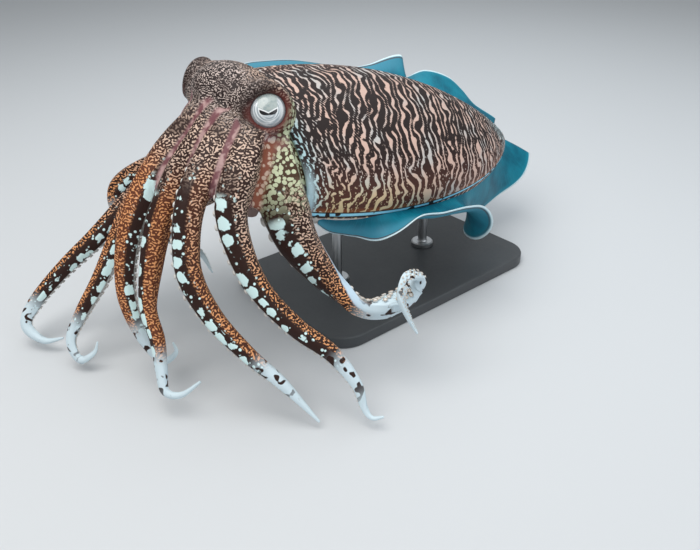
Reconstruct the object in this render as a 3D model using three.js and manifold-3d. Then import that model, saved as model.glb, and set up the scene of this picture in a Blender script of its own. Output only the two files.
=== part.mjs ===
// A male pharaoh cuttlefish at life size, swimming with its arms spread, on a plain display stand.
// Millimetres, +Z up. The animal heads towards -X, with its left side towards -Y.

import * as THREE from 'three';
import { mergeVertices } from 'three/addons/utils/BufferGeometryUtils.js';
import Module from 'manifold-3d';

const wasm = await Module();
wasm.setup();

const gap = 0.3;

// Mantle: the long domed body behind the head
const mantleLength = 282;
const mantleHalfWidth = 75;
const domeHeight = 39;
const bellyDepth = 33;
const widestAt = 0.69;
const frontNarrowing = 0.12;
const tailTip = [146, 137, -203];
const headingUp = THREE.MathUtils.degToRad(10.8);
const bankToLeft = THREE.MathUtils.degToRad(29.7);
const mantleTip = 0.004;
const sidePower = 0.7;
const risePower = 0.8;
const roundness = 0.8;
const mantleRings = 18;
const mantleSides = 24;
const ringSpacing = 0.9;

// Fins: a thin ribbon along each side, joined behind the tail
const finRootThickness = 2.6;
const finEdgeThickness = 1.0;
const finStations = 44;
const finColumns = 4;
const finRootDepth = 3;
const edgeSample = 0.01;

// Head, eyes and mouth, in the frame of the view that the pose is given in
const headCentre = [-78, 121, 0];
const headForward = [-0.466, -0.881, -0.083];
const headLeft = [0.586, -0.376, 0.718];
const skullRadii = [25, 35, 33];
const faceReach = 26;
const faceRadii = [34, 30, 30];
const neckCentre = [-64, 95, -16];
const neckRadii = [40, 47, 24];
const eyeReach = 40;
const eyeballRadius = 17;
const bulgeReach = 33;
const bulgeRadii = [22, 20, 21];
const lidReach = 51;
const lidRadius = 14.5;
const lidThickness = 3.2;
const lidSections = [5, 14];
const ballSections = [14, 10];
const mouthReach = 80;
const mouthRadius = 11;
const mouthLength = 26;
const mouthSections = [10, 8];

// Funnel: the short nozzle under the head
const funnelRoot = [-68, 84, -36];
const funnelEnd = [-78, 48, -52];
const funnelRadii = [15, 13, 7.5];
const funnelBore = 4.5;
const funnelBoreStart = 0.6;
const funnelSides = 10;

// Arms: the ring of roots with its core and webs, and the lengths that each arm is divided into
const coreReach = 44;
const coreRadii = [38, 24, 25];
const coreSections = [8, 6];
const webShare = 0.95;
const webThickness = 4;
const webRings = 3;
const webs = [['left_2', 'left_3'], ['left_3', 'left_4'], ['right_2', 'right_3'], ['right_3', 'right_4']];
const armSides = 8;
const oralThickness = 0.3;
const outerThickness = 0.44;
const armStep = [0.5, 4];
const lengthCuts = [0.52, 0.77];
const lengthNames = ['root', 'middle', 'tip'];

// Suckers: two staggered rows of cups along the inner face of each arm, as shares of its width
const suckerSides = 5;
const suckerRow = 0.24;
const suckerRadius = 0.16;
const suckerRoot = 0.1;
const suckerRise = 0.36;
const suckerFoot = 0.7;
const suckerClearance = 1.3;
const suckerDish = 0.12;
const suckerLean = 0.35;
const suckerSpread = 0.9;
const suckerStep = 6.5;
const suckerVariation = 0.12;
const smallestSucker = 0.45;

// Stand: a flat base and two rods
const baseLength = 230;
const baseWidth = 150;
const baseThickness = 10;
const baseCorner = 24;
const baseBevel = 1.5;
const baseCentre = [112, 84];
const rodRadius = 4;
const rodFront = [58, 84];
const rodRear = [160, 84];
const rodTop = 45;
const flangeRadius = 10;
const flangeHeight = 4;
const flangeTaper = 2;
const rodSides = 14;
const floorClearance = 5;

// Directions of the view that the pose is given in: rightwards, upwards and nearer
const viewAzimuth = THREE.MathUtils.degToRad(-40.6);
const viewElevation = THREE.MathUtils.degToRad(30);
const nearer = new THREE.Vector3(
  Math.sin(viewAzimuth) * Math.cos(viewElevation),
  -Math.cos(viewAzimuth) * Math.cos(viewElevation),
  Math.sin(viewElevation)
);
const rightwards = new THREE.Vector3(Math.cos(viewAzimuth), Math.sin(viewAzimuth), 0);
const upwards = new THREE.Vector3().crossVectors(nearer, rightwards);

function place([right, up, near]) {
  return new THREE.Vector3()
    .addScaledVector(rightwards, right)
    .addScaledVector(upwards, up)
    .addScaledVector(nearer, near);
}

// Directions of the mantle: forward, left and back (dorsal)
const forward = new THREE.Vector3(-Math.cos(headingUp), 0, Math.sin(headingUp));
const levelLeft = new THREE.Vector3(0, -1, 0);
const levelDorsal = new THREE.Vector3().crossVectors(forward, levelLeft);
const left = levelLeft.clone().multiplyScalar(Math.cos(bankToLeft))
  .addScaledVector(levelDorsal, -Math.sin(bankToLeft));
const dorsal = new THREE.Vector3().crossVectors(forward, left);
const tail = place(tailTip);

function inMantle(along, leftward, dorsalward) {
  return tail.clone()
    .addScaledVector(forward, along)
    .addScaledVector(left, leftward)
    .addScaledVector(dorsal, dorsalward);
}

// Each arm: its route as [right, up, near, width] in the view, the share of it inside the crown,
// where its inner face looks at its start and at its end, and how far its keel stands up at the root
const arms = {
  left_1: {
    route: [[-84, 108, 27, 20], [-97, 88, 30, 19], [-113, 64, 26, 19], [-126, 35, 22, 18], [-132, 5, 21, 15],
      [-134, -22, 21, 11], [-128, -43, 21, 10], [-125, -63, 22, 8], [-122, -77, 24, 5.5], [-111, -79, 26, 4],
      [-98, -70, 28, 1.6]],
    crown: 0.33,
    faces: [[-0.6, -0.1, -0.75], [-0.5, -0.1, -0.8]],
    keel: 0.12
  },
  left_2: {
    route: [[-76, 100, 33, 20], [-89, 74, 41, 21], [-100, 47, 46, 20], [-104, 22, 44, 19], [-102, -2, 41, 18],
      [-88, -28, 37, 15], [-67, -51, 34, 12], [-44, -71, 32, 9], [-20, -96, 30, 1.8]],
    crown: 0.25,
    faces: [[-0.75, -0.2, -0.6], [-0.75, -0.5, -0.45]],
    keel: 0.12
  },
  left_3: {
    route: [[-62, 95, 36, 20], [-68, 68, 44, 23], [-75, 42, 46, 22], [-70, 15, 42, 19], [-57, -11, 38, 16],
      [-35, -34, 35, 14], [-12, -51, 33, 12.5], [4, -71, 32, 8.5], [9, -86, 31, 5.5], [14, -93, 32, 3.5],
      [22, -92, 34, 1.6]],
    crown: 0.24,
    faces: [[-0.7, -0.2, -0.65], [-0.7, -0.5, -0.5]],
    keel: 0.14
  },
  left_4: {
    route: [[-54, 92, 22, 26], [-49, 66, 24, 32], [-43, 44, 24, 34], [-35, 24, 21, 29], [-23, 7, 18, 22],
      [-9, -9, 15, 15], [8, -21, 13, 14], [26, -20, 11, 18], [41, -13, 3, 15], [47, -1, 10, 9],
      [38, -2, 22, 7.5], [34, -15, 25, 6.5], [39, -28, 22, 5], [45, -39, 20, 1.8]],
    crown: 0.25,
    faces: [[-0.65, -0.3, -0.7], [0.5, 0.7, 0.5]],
    keel: 0.26
  },
  right_1: {
    route: [[-91, 112, 20, 20], [-114, 90, 18, 20], [-133, 65, 17, 20], [-145, 38, 15, 20], [-151, 13, 12, 17.5],
      [-152, -12, 9, 15], [-147, -32, 6, 12], [-138, -50, 3, 8], [-128, -59, 3, 5], [-119, -53, 6, 3.5],
      [-121, -46, 7, 1.6]],
    crown: 0.3,
    faces: [[0.8, -0.1, -0.55], [0.7, -0.1, -0.65]],
    keel: 0.12
  },
  right_2: {
    route: [[-101, 116, -5, 18], [-129, 89, -12, 19], [-153, 55, -20, 18], [-169, 22, -24, 17], [-181, -4, -25, 15],
      [-194, -27, -25, 12], [-202, -47, -24, 8.5], [-195, -61, -22, 6], [-184, -56, -20, 4], [-181, -48, -18, 1.6]],
    crown: 0.25,
    faces: [[0.8, -0.3, -0.5], [0.8, -0.2, -0.5]],
    keel: 0.12
  },
  right_3: {
    route: [[-101, 106, -26, 17], [-137, 79, -36, 18], [-165, 54, -42, 18], [-190, 29, -46, 17],
      [-216, 5, -48, 14.5], [-238, -21, -48, 12.5], [-244, -38, -46, 9], [-230, -49, -43, 5], [-214, -47, -40, 1.6]],
    crown: 0.22,
    faces: [[0.6, -0.5, -0.6], [0.6, -0.3, -0.65]],
    keel: 0.14
  },
  right_4: {
    route: [[-88, 95, -36, 17], [-125, 92, -60, 18], [-160, 84, -70, 18], [-182, 69, -72, 17], [-181, 50, -74, 15],
      [-161, 37, -72, 12], [-136, 27, -66, 9], [-116, 18, -58, 6], [-105, 2, -53, 1.6]],
    crown: 0.18,
    faces: [[0.3, -0.8, -0.5], [0.3, 0.8, -0.5]],
    keel: 0.26
  }
};

// Each fin: its stations from the front to the tail, as [place along the mantle from the tail tip to
// the front, width, slope of its inner half, slope of its outer half, lean forward], slopes and lean
// in degrees, a slope being measured from straight sideways up towards the back
const fins = {
  left: [
    [0.95, 6, -60, -75, 0], [0.9, 14, -70, -85, 0], [0.84, 18, -70, -90, 0], [0.8, 18, -60, -60, 0],
    [0.76, 21, -30, 40, 0], [0.7, 26, 10, 85, 5], [0.62, 32, 10, 95, 5], [0.53, 36, 8, 100, 5],
    [0.46, 38, 0, 90, 5], [0.42, 40, -20, 50, 0], [0.385, 41, -40, -40, 0], [0.33, 40, -60, -80, -5],
    [0.23, 38, -60, -85, -10], [0.13, 34, -50, -65, -10], [0.06, 32, -20, -30, -10], [0.015, 30, 0, -10, -5]
  ],
  right: [
    [0.95, 6, -5, -5, 0], [0.88, 20, -5, -10, 0], [0.78, 30, -10, -20, 0], [0.68, 33, -10, -20, 0],
    [0.58, 33, -10, -25, 0], [0.48, 33, -10, -30, 0], [0.4, 34, -5, -5, 0], [0.32, 37, 15, 30, 0],
    [0.28, 33, 0, -30, 0], [0.22, 39, 5, 5, 0], [0.15, 41, 5, 10, 0], [0.1, 38, 0, 0, 0],
    [0.06, 28, -5, -10, 0], [0.015, 22, -5, -5, 0]
  ]
};

function toSolid(geometry) {
  const bare = geometry.clone();
  bare.deleteAttribute('normal');
  bare.deleteAttribute('uv');
  const merged = mergeVertices(bare, 1e-4);
  return new wasm.Manifold(new wasm.Mesh({
    numProp: 3,
    vertProperties: new Float32Array(merged.attributes.position.array),
    triVerts: new Uint32Array(merged.index.array)
  }));
}

function toGeometry(solid) {
  const pieces = solid.decompose();
  pieces.sort((a, b) => b.volume() - a.volume());
  const mesh = pieces[0].getMesh();
  const geometry = new THREE.BufferGeometry();
  geometry.setAttribute('position', new THREE.BufferAttribute(mesh.vertProperties, 3));
  geometry.setIndex(new THREE.BufferAttribute(mesh.triVerts, 1));
  return geometry;
}

// A closed surface through rings of points, with a fan at each end, the last one pushed in by dish
function loft(rings, dish = new THREE.Vector3()) {
  const sides = rings[0].length;
  const points = rings.flat();
  const index = [];
  for (let r = 0; r + 1 < rings.length; r++) {
    for (let k = 0; k < sides; k++) {
      const a = r * sides + k;
      const b = r * sides + (k + 1) % sides;
      index.push(a, b, b + sides, a, b + sides, a + sides);
    }
  }
  const first = points.length;
  for (const ring of [rings[0], rings[rings.length - 1]]) {
    points.push(ring.reduce((sum, p) => sum.add(p), new THREE.Vector3()).multiplyScalar(1 / sides));
  }
  points[first + 1].add(dish);
  const lastRing = (rings.length - 1) * sides;
  for (let k = 0; k < sides; k++) {
    const next = (k + 1) % sides;
    index.push(first, next, k);
    index.push(first + 1, lastRing + k, lastRing + next);
  }
  return facingOut(points, index);
}

// Turns the triangles over where they enclose a negative volume
function facingOut(points, index) {
  let volume = 0;
  for (let i = 0; i < index.length; i += 3) {
    const [a, b, c] = [points[index[i]], points[index[i + 1]], points[index[i + 2]]];
    volume += a.dot(new THREE.Vector3().crossVectors(b, c));
  }
  if (volume < 0) {
    index.reverse();
  }
  const geometry = new THREE.BufferGeometry().setFromPoints(points);
  geometry.setIndex(index);
  return toSolid(geometry);
}

function ellipsoid(centre, axes, radii, grow = 0, sections = ballSections) {
  const geometry = new THREE.SphereGeometry(1, sections[0], sections[1]);
  const turn = new THREE.Matrix4().makeBasis(axes[0], axes[1], axes[2]);
  geometry.scale(radii[0] + grow, radii[1] + grow, radii[2] + grow);
  geometry.applyMatrix4(turn);
  geometry.translate(centre.x, centre.y, centre.z);
  return toSolid(geometry);
}

function join(solids) {
  return solids.reduce((sum, solid) => sum.add(solid));
}

function between(list, at) {
  const i = Math.min(Math.floor(at), list.length - 2);
  return list[i] + (list[i + 1] - list[i]) * (at - i);
}

// Mantle
function mantleShape(share) {
  if (share < widestAt) {
    return 1 - (1 - share / widestAt) ** 2;
  }
  return 1;
}

function mantleFrontShape(share) {
  return 1 - frontNarrowing * Math.max(0, (share - widestAt) / (1 - widestAt)) ** 2;
}

function mantleHalf(share) {
  return mantleHalfWidth * mantleShape(share) ** sidePower * mantleFrontShape(share);
}

function mantlePoint(share, angle, grow = 0) {
  const front = mantleFrontShape(share);
  const rise = Math.sin(angle) >= 0 ? domeHeight : bellyDepth;
  const sideways = (mantleHalf(share) + grow) * Math.cos(angle);
  const height = rise * mantleShape(share) ** risePower * front + grow;
  const lift = height * Math.sign(Math.sin(angle)) * Math.abs(Math.sin(angle)) ** roundness;
  return inMantle(share * mantleLength, sideways, lift);
}

function mantleSolid(grow = 0) {
  const rings = [];
  for (let i = 0; i <= mantleRings; i++) {
    const run = (1 - Math.cos(Math.PI * 0.5 * i / mantleRings)) ** ringSpacing;
    const share = mantleTip + (1 - mantleTip) * run;
    const ring = [];
    for (let k = 0; k < mantleSides; k++) {
      ring.push(mantlePoint(share, 2 * Math.PI * k / mantleSides, grow));
    }
    rings.push(ring);
  }
  return loft(rings);
}

// Head, with a bulge round each eye and a neck that fills the mantle's opening
const headAxes = [place(headForward).normalize(), place(headLeft).normalize()];
headAxes.push(new THREE.Vector3().crossVectors(headAxes[0], headAxes[1]));
const headPlace = place(headCentre);

function eyeCentre(side, reach) {
  return headPlace.clone().addScaledVector(headAxes[1], side * reach);
}

function headSolid(grow = 0) {
  const face = headPlace.clone().addScaledVector(headAxes[0], faceReach);
  const parts = [
    ellipsoid(headPlace, headAxes, skullRadii, grow),
    ellipsoid(face, headAxes, faceRadii, grow),
    ellipsoid(place(neckCentre), [forward, left, dorsal], neckRadii, grow)
  ];
  for (const side of [1, -1]) {
    parts.push(ellipsoid(eyeCentre(side, bulgeReach), headAxes, bulgeRadii, grow));
    parts.push(lidSolid(side, grow));
  }
  return join(parts);
}

// The swollen rim of lids round an eye
function lidSolid(side, grow) {
  const ring = new THREE.TorusGeometry(lidRadius, lidThickness + grow, ...lidSections);
  const turn = new THREE.Matrix4().makeBasis(headAxes[2], headAxes[0], headAxes[1]);
  ring.applyMatrix4(turn);
  const centre = eyeCentre(side, lidReach);
  ring.translate(centre.x, centre.y, centre.z);
  return toSolid(ring);
}

function eyeSolid(side, grow = 0) {
  const radii = [eyeballRadius, eyeballRadius, eyeballRadius];
  return ellipsoid(eyeCentre(side, eyeReach), headAxes, radii, grow);
}

// The round lips round the beak, in the middle of the ring of arms
function mouthSolid() {
  const centre = headPlace.clone().addScaledVector(headAxes[0], mouthReach);
  return ellipsoid(centre, headAxes, [mouthLength / 2, mouthRadius, mouthRadius], 0, mouthSections);
}

// The funnel, a tapered nozzle with its bore open at the front end
function funnelSolid(grow = 0) {
  const root = place(funnelRoot);
  const way = place(funnelEnd).sub(root);
  const length = way.length();
  const outline = [[0, 0], [funnelRadii[0], 0], [funnelRadii[1], length / 2], [funnelRadii[2], length]];
  if (grow === 0) {
    outline.push([funnelBore, length], [funnelBore, length * funnelBoreStart]);
  }
  outline.push([0, outline[outline.length - 1][1]]);
  const profile = outline.map(([r, z]) => new THREE.Vector2(r > 0 ? r + grow : 0, z));
  const nozzle = new THREE.LatheGeometry(profile, funnelSides);
  const turn = new THREE.Quaternion().setFromUnitVectors(new THREE.Vector3(0, 1, 0), way.normalize());
  nozzle.applyQuaternion(turn);
  nozzle.translate(root.x, root.y, root.z);
  return toSolid(nozzle);
}

// Arms
function armCurve(arm) {
  return new THREE.CatmullRomCurve3(arm.route.map(place), false, 'catmullrom', 0.5);
}

function armStation(arm, curve, share) {
  const t = curve.getUtoTmapping(share);
  const tangent = curve.getTangent(t).normalize();
  const inner = place(arm.faces[0]).lerp(place(arm.faces[1]), share);
  inner.addScaledVector(tangent, -inner.dot(tangent)).normalize();
  const across = new THREE.Vector3().crossVectors(tangent, inner);
  const width = between(arm.route.map((row) => row[3]), t * (arm.route.length - 1));
  return { at: curve.getPoint(t), tangent, inner, across, width, keel: arm.keel * (1 - share) };
}

function armRing(station, grow) {
  const ring = [];
  for (let k = 0; k < armSides; k++) {
    const angle = 2 * Math.PI * k / armSides;
    const ridge = k === armSides * 3 / 4 ? station.keel : 0;
    const depth = Math.sin(angle) > 0 ? oralThickness : outerThickness + ridge;
    ring.push(station.at.clone()
      .addScaledVector(station.across, (station.width * 0.5 + grow) * Math.cos(angle))
      .addScaledVector(station.inner, (station.width * depth + grow) * Math.sin(angle)));
  }
  return ring;
}

function armSolid(arm, from, to, grow = 0) {
  const curve = armCurve(arm);
  const length = curve.getLength();
  const rings = [];
  let share = from;
  while (share < to) {
    const station = armStation(arm, curve, share);
    rings.push(armRing(station, grow));
    share += (armStep[0] * station.width + armStep[1]) / length;
  }
  rings.push(armRing(armStation(arm, curve, to), grow));
  return loft(rings);
}

// A repeatable draw between -1 and 1
function draw(seed) {
  const wave = Math.sin(seed * 12.9898) * 43758.5453;
  return 2 * (wave - Math.floor(wave)) - 1;
}

// One cup, its foot sunk in the arm and its rim leaning a little outwards
function suckerSolid(station, row, size) {
  const width = station.width;
  const radius = Math.max(suckerRadius * width * size, smallestSucker);
  const lean = station.inner.clone().addScaledVector(station.across, row * suckerLean).normalize();
  const side = new THREE.Vector3().crossVectors(station.tangent, lean).normalize();
  const foot = station.at.clone().addScaledVector(station.across, row * suckerRow * width);
  const ring = (height, spread) => {
    const centre = foot.clone().addScaledVector(lean, height);
    return Array.from({ length: suckerSides }, (_, k) => {
      const angle = 2 * Math.PI * k / suckerSides;
      return centre.clone()
        .addScaledVector(side, spread * Math.cos(angle))
        .addScaledVector(station.tangent, spread * Math.sin(angle));
    });
  };
  const rings = [ring(suckerRoot * width, radius * suckerFoot), ring(suckerRise * width, radius)];
  return loft(rings, lean.multiplyScalar(-suckerDish * width));
}

function suckersOn(arm, from, to, seed) {
  const curve = armCurve(arm);
  const length = curve.getLength();
  const cups = [];
  let share = from;
  let count = 0;
  while (share < to) {
    const station = armStation(arm, curve, share);
    const edge = suckerRadius * station.width * suckerClearance / length;
    if (share > from + edge && share < to - edge) {
      cups.push(suckerSolid(station, count % 2 ? 1 : -1, 1 + suckerVariation * draw(seed + count)));
    }
    share += (suckerSpread * station.width + suckerStep) / 2 / length;
    count += 1;
  }
  return cups;
}

// The sheet of skin between two neighbouring arms
function webSolid(one, other, grow) {
  const [curveOne, curveOther] = [armCurve(one), armCurve(other)];
  const rings = [];
  for (let i = 0; i <= webRings; i++) {
    const share = webShare * i / webRings;
    const a = armStation(one, curveOne, share * one.crown);
    const b = armStation(other, curveOther, share * other.crown);
    const across = b.at.clone().sub(a.at);
    const face = new THREE.Vector3().crossVectors(across, a.tangent.clone().add(b.tangent)).normalize();
    face.multiplyScalar(webThickness / 2 + grow);
    rings.push([a.at.clone().add(face), b.at.clone().add(face), b.at.clone().sub(face), a.at.clone().sub(face)]);
  }
  return loft(rings);
}

function crownSolid(grow = 0) {
  const core = headPlace.clone().addScaledVector(headAxes[0], coreReach);
  const solids = [ellipsoid(core, headAxes, coreRadii, grow, coreSections)];
  for (const arm of Object.values(arms)) {
    solids.push(armSolid(arm, 0, arm.crown, grow));
  }
  for (const [one, other] of webs) {
    solids.push(webSolid(arms[one], arms[other], grow));
  }
  return join(solids);
}

// Fins
function finStation(rows, at) {
  return rows[0].map((_, column) => {
    const route = new THREE.SplineCurve(rows.map((row, i) => new THREE.Vector2(i, row[column])));
    return route.getPoint(at).y;
  });
}

function finSolid(side, rows) {
  const top = [];
  const under = [];
  for (let i = 0; i <= finStations; i++) {
    const [share, width, innerSlope, outerSlope, lean] = finStation(rows, i / finStations);
    const half = mantleHalf(Math.max(share, mantleTip));
    const ahead = mantleHalf(Math.max(share, mantleTip) + edgeSample) - half;
    const outward = new THREE.Vector3().addScaledVector(left, side).multiplyScalar(mantleLength * edgeSample)
      .addScaledVector(forward, -ahead).normalize();
    let at = inMantle(share * mantleLength, side * half, 0).addScaledVector(outward, -finRootDepth);
    const step = (width + finRootDepth) / finColumns;
    for (let k = 0; k <= finColumns; k++) {
      const slope = THREE.MathUtils.degToRad(innerSlope + (outerSlope - innerSlope) * k / finColumns);
      const swing = THREE.MathUtils.degToRad(lean);
      const away = outward.clone().multiplyScalar(Math.cos(slope)).addScaledVector(dorsal, Math.sin(slope));
      away.multiplyScalar(Math.cos(swing)).addScaledVector(forward, Math.sin(swing));
      const face = new THREE.Vector3().crossVectors(away, forward).normalize().multiplyScalar(-side);
      const thick = finRootThickness + (finEdgeThickness - finRootThickness) * k / finColumns;
      top.push(at.clone().addScaledVector(face, thick / 2));
      under.push(at.clone().addScaledVector(face, -thick / 2));
      at = at.clone().addScaledVector(away, step);
    }
  }
  const columns = finColumns + 1;
  const shift = top.length;
  const index = [];
  for (let i = 0; i < finStations; i++) {
    for (let k = 0; k < finColumns; k++) {
      const a = i * columns + k;
      index.push(a, a + 1, a + columns, a + 1, a + columns + 1, a + columns);
      index.push(shift + a + 1, shift + a, shift + a + columns);
      index.push(shift + a + columns + 1, shift + a + 1, shift + a + columns);
    }
  }
  const rim = [];
  for (let k = 0; k < finColumns; k++) {
    rim.push(k);
  }
  for (let i = 0; i < finStations; i++) {
    rim.push(i * columns + finColumns);
  }
  for (let k = finColumns; k > 0; k--) {
    rim.push(finStations * columns + k);
  }
  for (let i = finStations; i > 0; i--) {
    rim.push(i * columns);
  }
  for (let i = 0; i < rim.length; i++) {
    const a = rim[i];
    const b = rim[(i + 1) % rim.length];
    index.push(a, a + shift, b, b, a + shift, b + shift);
  }
  return facingOut([...top, ...under], index);
}

// The pieces
const pieces = new Map();
const head = headSolid(gap);
const crown = crownSolid(gap);
const mantle = mantleSolid(gap);

pieces.set('mantle', {
  solid: mantleSolid().subtract(head).subtract(crown).subtract(eyeSolid(1, gap)).subtract(eyeSolid(-1, gap)),
  colour: '#3a2a24',
  rough: 0.55
});
pieces.set('fin_left', {
  solid: finSolid(1, fins.left).subtract(mantle).subtract(head).subtract(crown), colour: '#3f8fae', rough: 0.4
});
pieces.set('fin_right', {
  solid: finSolid(-1, fins.right).subtract(mantle).subtract(head).subtract(crown), colour: '#3f8fae', rough: 0.4
});
pieces.set('head', {
  solid: headSolid().subtract(eyeSolid(1, gap)).subtract(eyeSolid(-1, gap)), colour: '#5a4038', rough: 0.55
});
pieces.set('eye_left', { solid: eyeSolid(1), colour: '#c8ccd0', rough: 0.2 });
pieces.set('eye_right', { solid: eyeSolid(-1), colour: '#c8ccd0', rough: 0.2 });
pieces.set('arm_crown', {
  solid: crownSolid().subtract(head).subtract(eyeSolid(1, gap)).subtract(eyeSolid(-1, gap)),
  colour: '#6b4a40', rough: 0.55
});
for (const [name, arm] of Object.entries(arms)) {
  const length = armCurve(arm).getLength();
  const cuts = [arm.crown, ...lengthCuts, 1];
  lengthNames.forEach((part, i) => {
    const from = cuts[i] + gap / 2 / length;
    const to = i === 2 ? 1 : cuts[i + 1] - gap / 2 / length;
    let solid = join([armSolid(arm, from, to), ...suckersOn(arm, from, to, 100 * pieces.size)]);
    if (i === 0) {
      solid = solid.subtract(crown);
    }
    pieces.set(`arm_${name}_${part}`, { solid, colour: '#8a5a44', rough: 0.5 });
  });
}

pieces.set('mouth', { solid: mouthSolid().subtract(head).subtract(crown), colour: '#c9a58f', rough: 0.5 });
pieces.set('funnel', {
  solid: funnelSolid().subtract(mantle).subtract(head).subtract(crown), colour: '#b9a99a', rough: 0.5
});

// Stand: the floor lies just under the lowest arm tip
let lowest = Infinity;
for (const { solid } of pieces.values()) {
  lowest = Math.min(lowest, solid.boundingBox().min[2]);
}
const floor = lowest - floorClearance;

function baseSolid() {
  const outline = new THREE.Shape();
  const [halfLength, halfWidth] = [baseLength / 2, baseWidth / 2];
  outline.moveTo(-halfLength + baseCorner, -halfWidth);
  outline.absarc(halfLength - baseCorner, -halfWidth + baseCorner, baseCorner, -Math.PI / 2, 0);
  outline.absarc(halfLength - baseCorner, halfWidth - baseCorner, baseCorner, 0, Math.PI / 2);
  outline.absarc(-halfLength + baseCorner, halfWidth - baseCorner, baseCorner, Math.PI / 2, Math.PI);
  outline.absarc(-halfLength + baseCorner, -halfWidth + baseCorner, baseCorner, Math.PI, Math.PI * 1.5);
  const plate = new THREE.ExtrudeGeometry(outline, {
    depth: baseThickness - 2 * baseBevel, bevelThickness: baseBevel, bevelSize: baseBevel, bevelOffset: -baseBevel,
    bevelSegments: 1, curveSegments: 4
  });
  plate.translate(baseCentre[0], baseCentre[1], floor + baseBevel);
  return toSolid(plate);
}

function rodSolid([x, y]) {
  const top = rodTop - floor - baseThickness;
  const outline = [[0, gap], [flangeRadius, gap], [flangeRadius, flangeHeight], [rodRadius, flangeHeight + flangeTaper],
    [rodRadius, top], [0, top]];
  const rod = new THREE.LatheGeometry(outline.map(([r, z]) => new THREE.Vector2(r, z)), rodSides);
  rod.rotateX(Math.PI / 2);
  rod.translate(x, y, floor + baseThickness);
  return toSolid(rod).subtract(mantle);
}

pieces.set('stand_base', { solid: baseSolid(), colour: '#26282b', rough: 0.6 });
pieces.set('stand_rod_front', { solid: rodSolid(rodFront), colour: '#9a9da0', rough: 0.3 });
pieces.set('stand_rod_rear', { solid: rodSolid(rodRear), colour: '#9a9da0', rough: 0.3 });

// The origin is set at the bottom centre of the whole
const extent = new THREE.Box3();
for (const { solid } of pieces.values()) {
  const box = solid.boundingBox();
  extent.expandByPoint(new THREE.Vector3(...box.min));
  extent.expandByPoint(new THREE.Vector3(...box.max));
}
const origin = extent.getCenter(new THREE.Vector3()).setZ(extent.min.z);

const model = new THREE.Group();
for (const [name, piece] of pieces) {
  const material = new THREE.MeshStandardMaterial({ color: piece.colour, roughness: piece.rough, metalness: 0 });
  const geometry = toGeometry(piece.solid.translate(-origin.x, -origin.y, -origin.z));
  const mesh = new THREE.Mesh(geometry, material);
  mesh.name = name;
  model.add(mesh);
}

export default model;
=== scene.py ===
# A male pharaoh cuttlefish at life size, swimming with its arms spread, on a plain display stand.
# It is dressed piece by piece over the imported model: body, fins, head with arms, eyes, mouth, stand.

import math

import bmesh
import bpy
import numpy as np
from mathutils import Matrix, Vector
from mathutils.kdtree import KDTree


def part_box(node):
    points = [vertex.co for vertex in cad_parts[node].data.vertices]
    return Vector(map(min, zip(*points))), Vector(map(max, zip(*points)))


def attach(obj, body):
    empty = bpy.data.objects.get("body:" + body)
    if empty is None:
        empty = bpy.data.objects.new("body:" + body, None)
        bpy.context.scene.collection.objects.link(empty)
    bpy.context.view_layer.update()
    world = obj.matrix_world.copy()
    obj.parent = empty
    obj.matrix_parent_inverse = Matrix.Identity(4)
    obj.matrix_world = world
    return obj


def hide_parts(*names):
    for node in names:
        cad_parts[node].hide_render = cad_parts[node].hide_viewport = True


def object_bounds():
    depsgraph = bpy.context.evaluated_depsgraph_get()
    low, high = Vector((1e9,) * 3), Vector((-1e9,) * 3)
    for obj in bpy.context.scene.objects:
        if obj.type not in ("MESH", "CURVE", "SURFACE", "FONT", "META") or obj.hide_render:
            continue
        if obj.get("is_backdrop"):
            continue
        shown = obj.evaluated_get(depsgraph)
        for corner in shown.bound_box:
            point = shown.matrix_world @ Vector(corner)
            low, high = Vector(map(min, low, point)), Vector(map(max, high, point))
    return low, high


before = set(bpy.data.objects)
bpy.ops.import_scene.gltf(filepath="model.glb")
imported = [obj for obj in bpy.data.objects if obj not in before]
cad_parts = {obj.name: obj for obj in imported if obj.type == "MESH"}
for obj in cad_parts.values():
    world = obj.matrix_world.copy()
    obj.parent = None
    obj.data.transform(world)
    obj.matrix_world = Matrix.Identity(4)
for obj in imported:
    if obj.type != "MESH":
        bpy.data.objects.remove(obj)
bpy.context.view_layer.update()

# The pose. The animal was measured as it is seen, in millimetres to the right, up and nearer,
# from a point half a metre in front of the lens. The left eyeball ties that to the model's frame.
mm = 0.001
view_azimuth = math.radians(-40.6)
view_elevation = math.radians(30)
nearer = np.array([
    math.sin(view_azimuth) * math.cos(view_elevation),
    -math.cos(view_azimuth) * math.cos(view_elevation),
    math.sin(view_elevation),
])
rightwards = np.array([math.cos(view_azimuth), math.sin(view_azimuth), 0.0])
upwards = np.cross(nearer, rightwards)
pose_axes = np.array([rightwards, upwards, nearer])

head_centre = [-78, 121, 0]
head_forward = [-0.466, -0.881, -0.083]
head_left = [0.586, -0.376, 0.718]
eye_reach = 40


def unit(vectors):
    vectors = np.asarray(vectors, float)
    return vectors / np.maximum(np.linalg.norm(vectors, axis=-1, keepdims=True), 1e-12)


def heading(direction):
    """A direction given as right, up and nearer, in the model's frame."""
    return unit(np.asarray(direction, float) @ pose_axes)


head_axes = np.array([heading(head_forward), heading(head_left)])
head_axes = np.vstack([head_axes, np.cross(head_axes[0], head_axes[1])])
eye_low, eye_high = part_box("eye_left")
eye_at = (np.array(eye_low) + np.array(eye_high)) / 2
eye_as_seen = np.array(head_centre) @ pose_axes * mm + head_axes[1] * eye_reach * mm
shift = eye_at - eye_as_seen


def posed(points):
    """Points given as millimetres to the right, up and nearer, in the model's frame."""
    return np.asarray(points, float) @ pose_axes * mm + shift


# Studio: a plain pale floor, soft light from large panels, and the camera at the angle and
# distance from which the animal was seen.
floor_size = 12.0
floor_grey = (0.62, 0.64, 0.66, 1)
floor_roughness = 0.9
camera_distance = 520
lens = 38.57
sensor = 36.0
near_clip = 0.01
sky_tone = (0.86, 0.9, 0.93, 1)
sky_strength = 0.35

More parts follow.
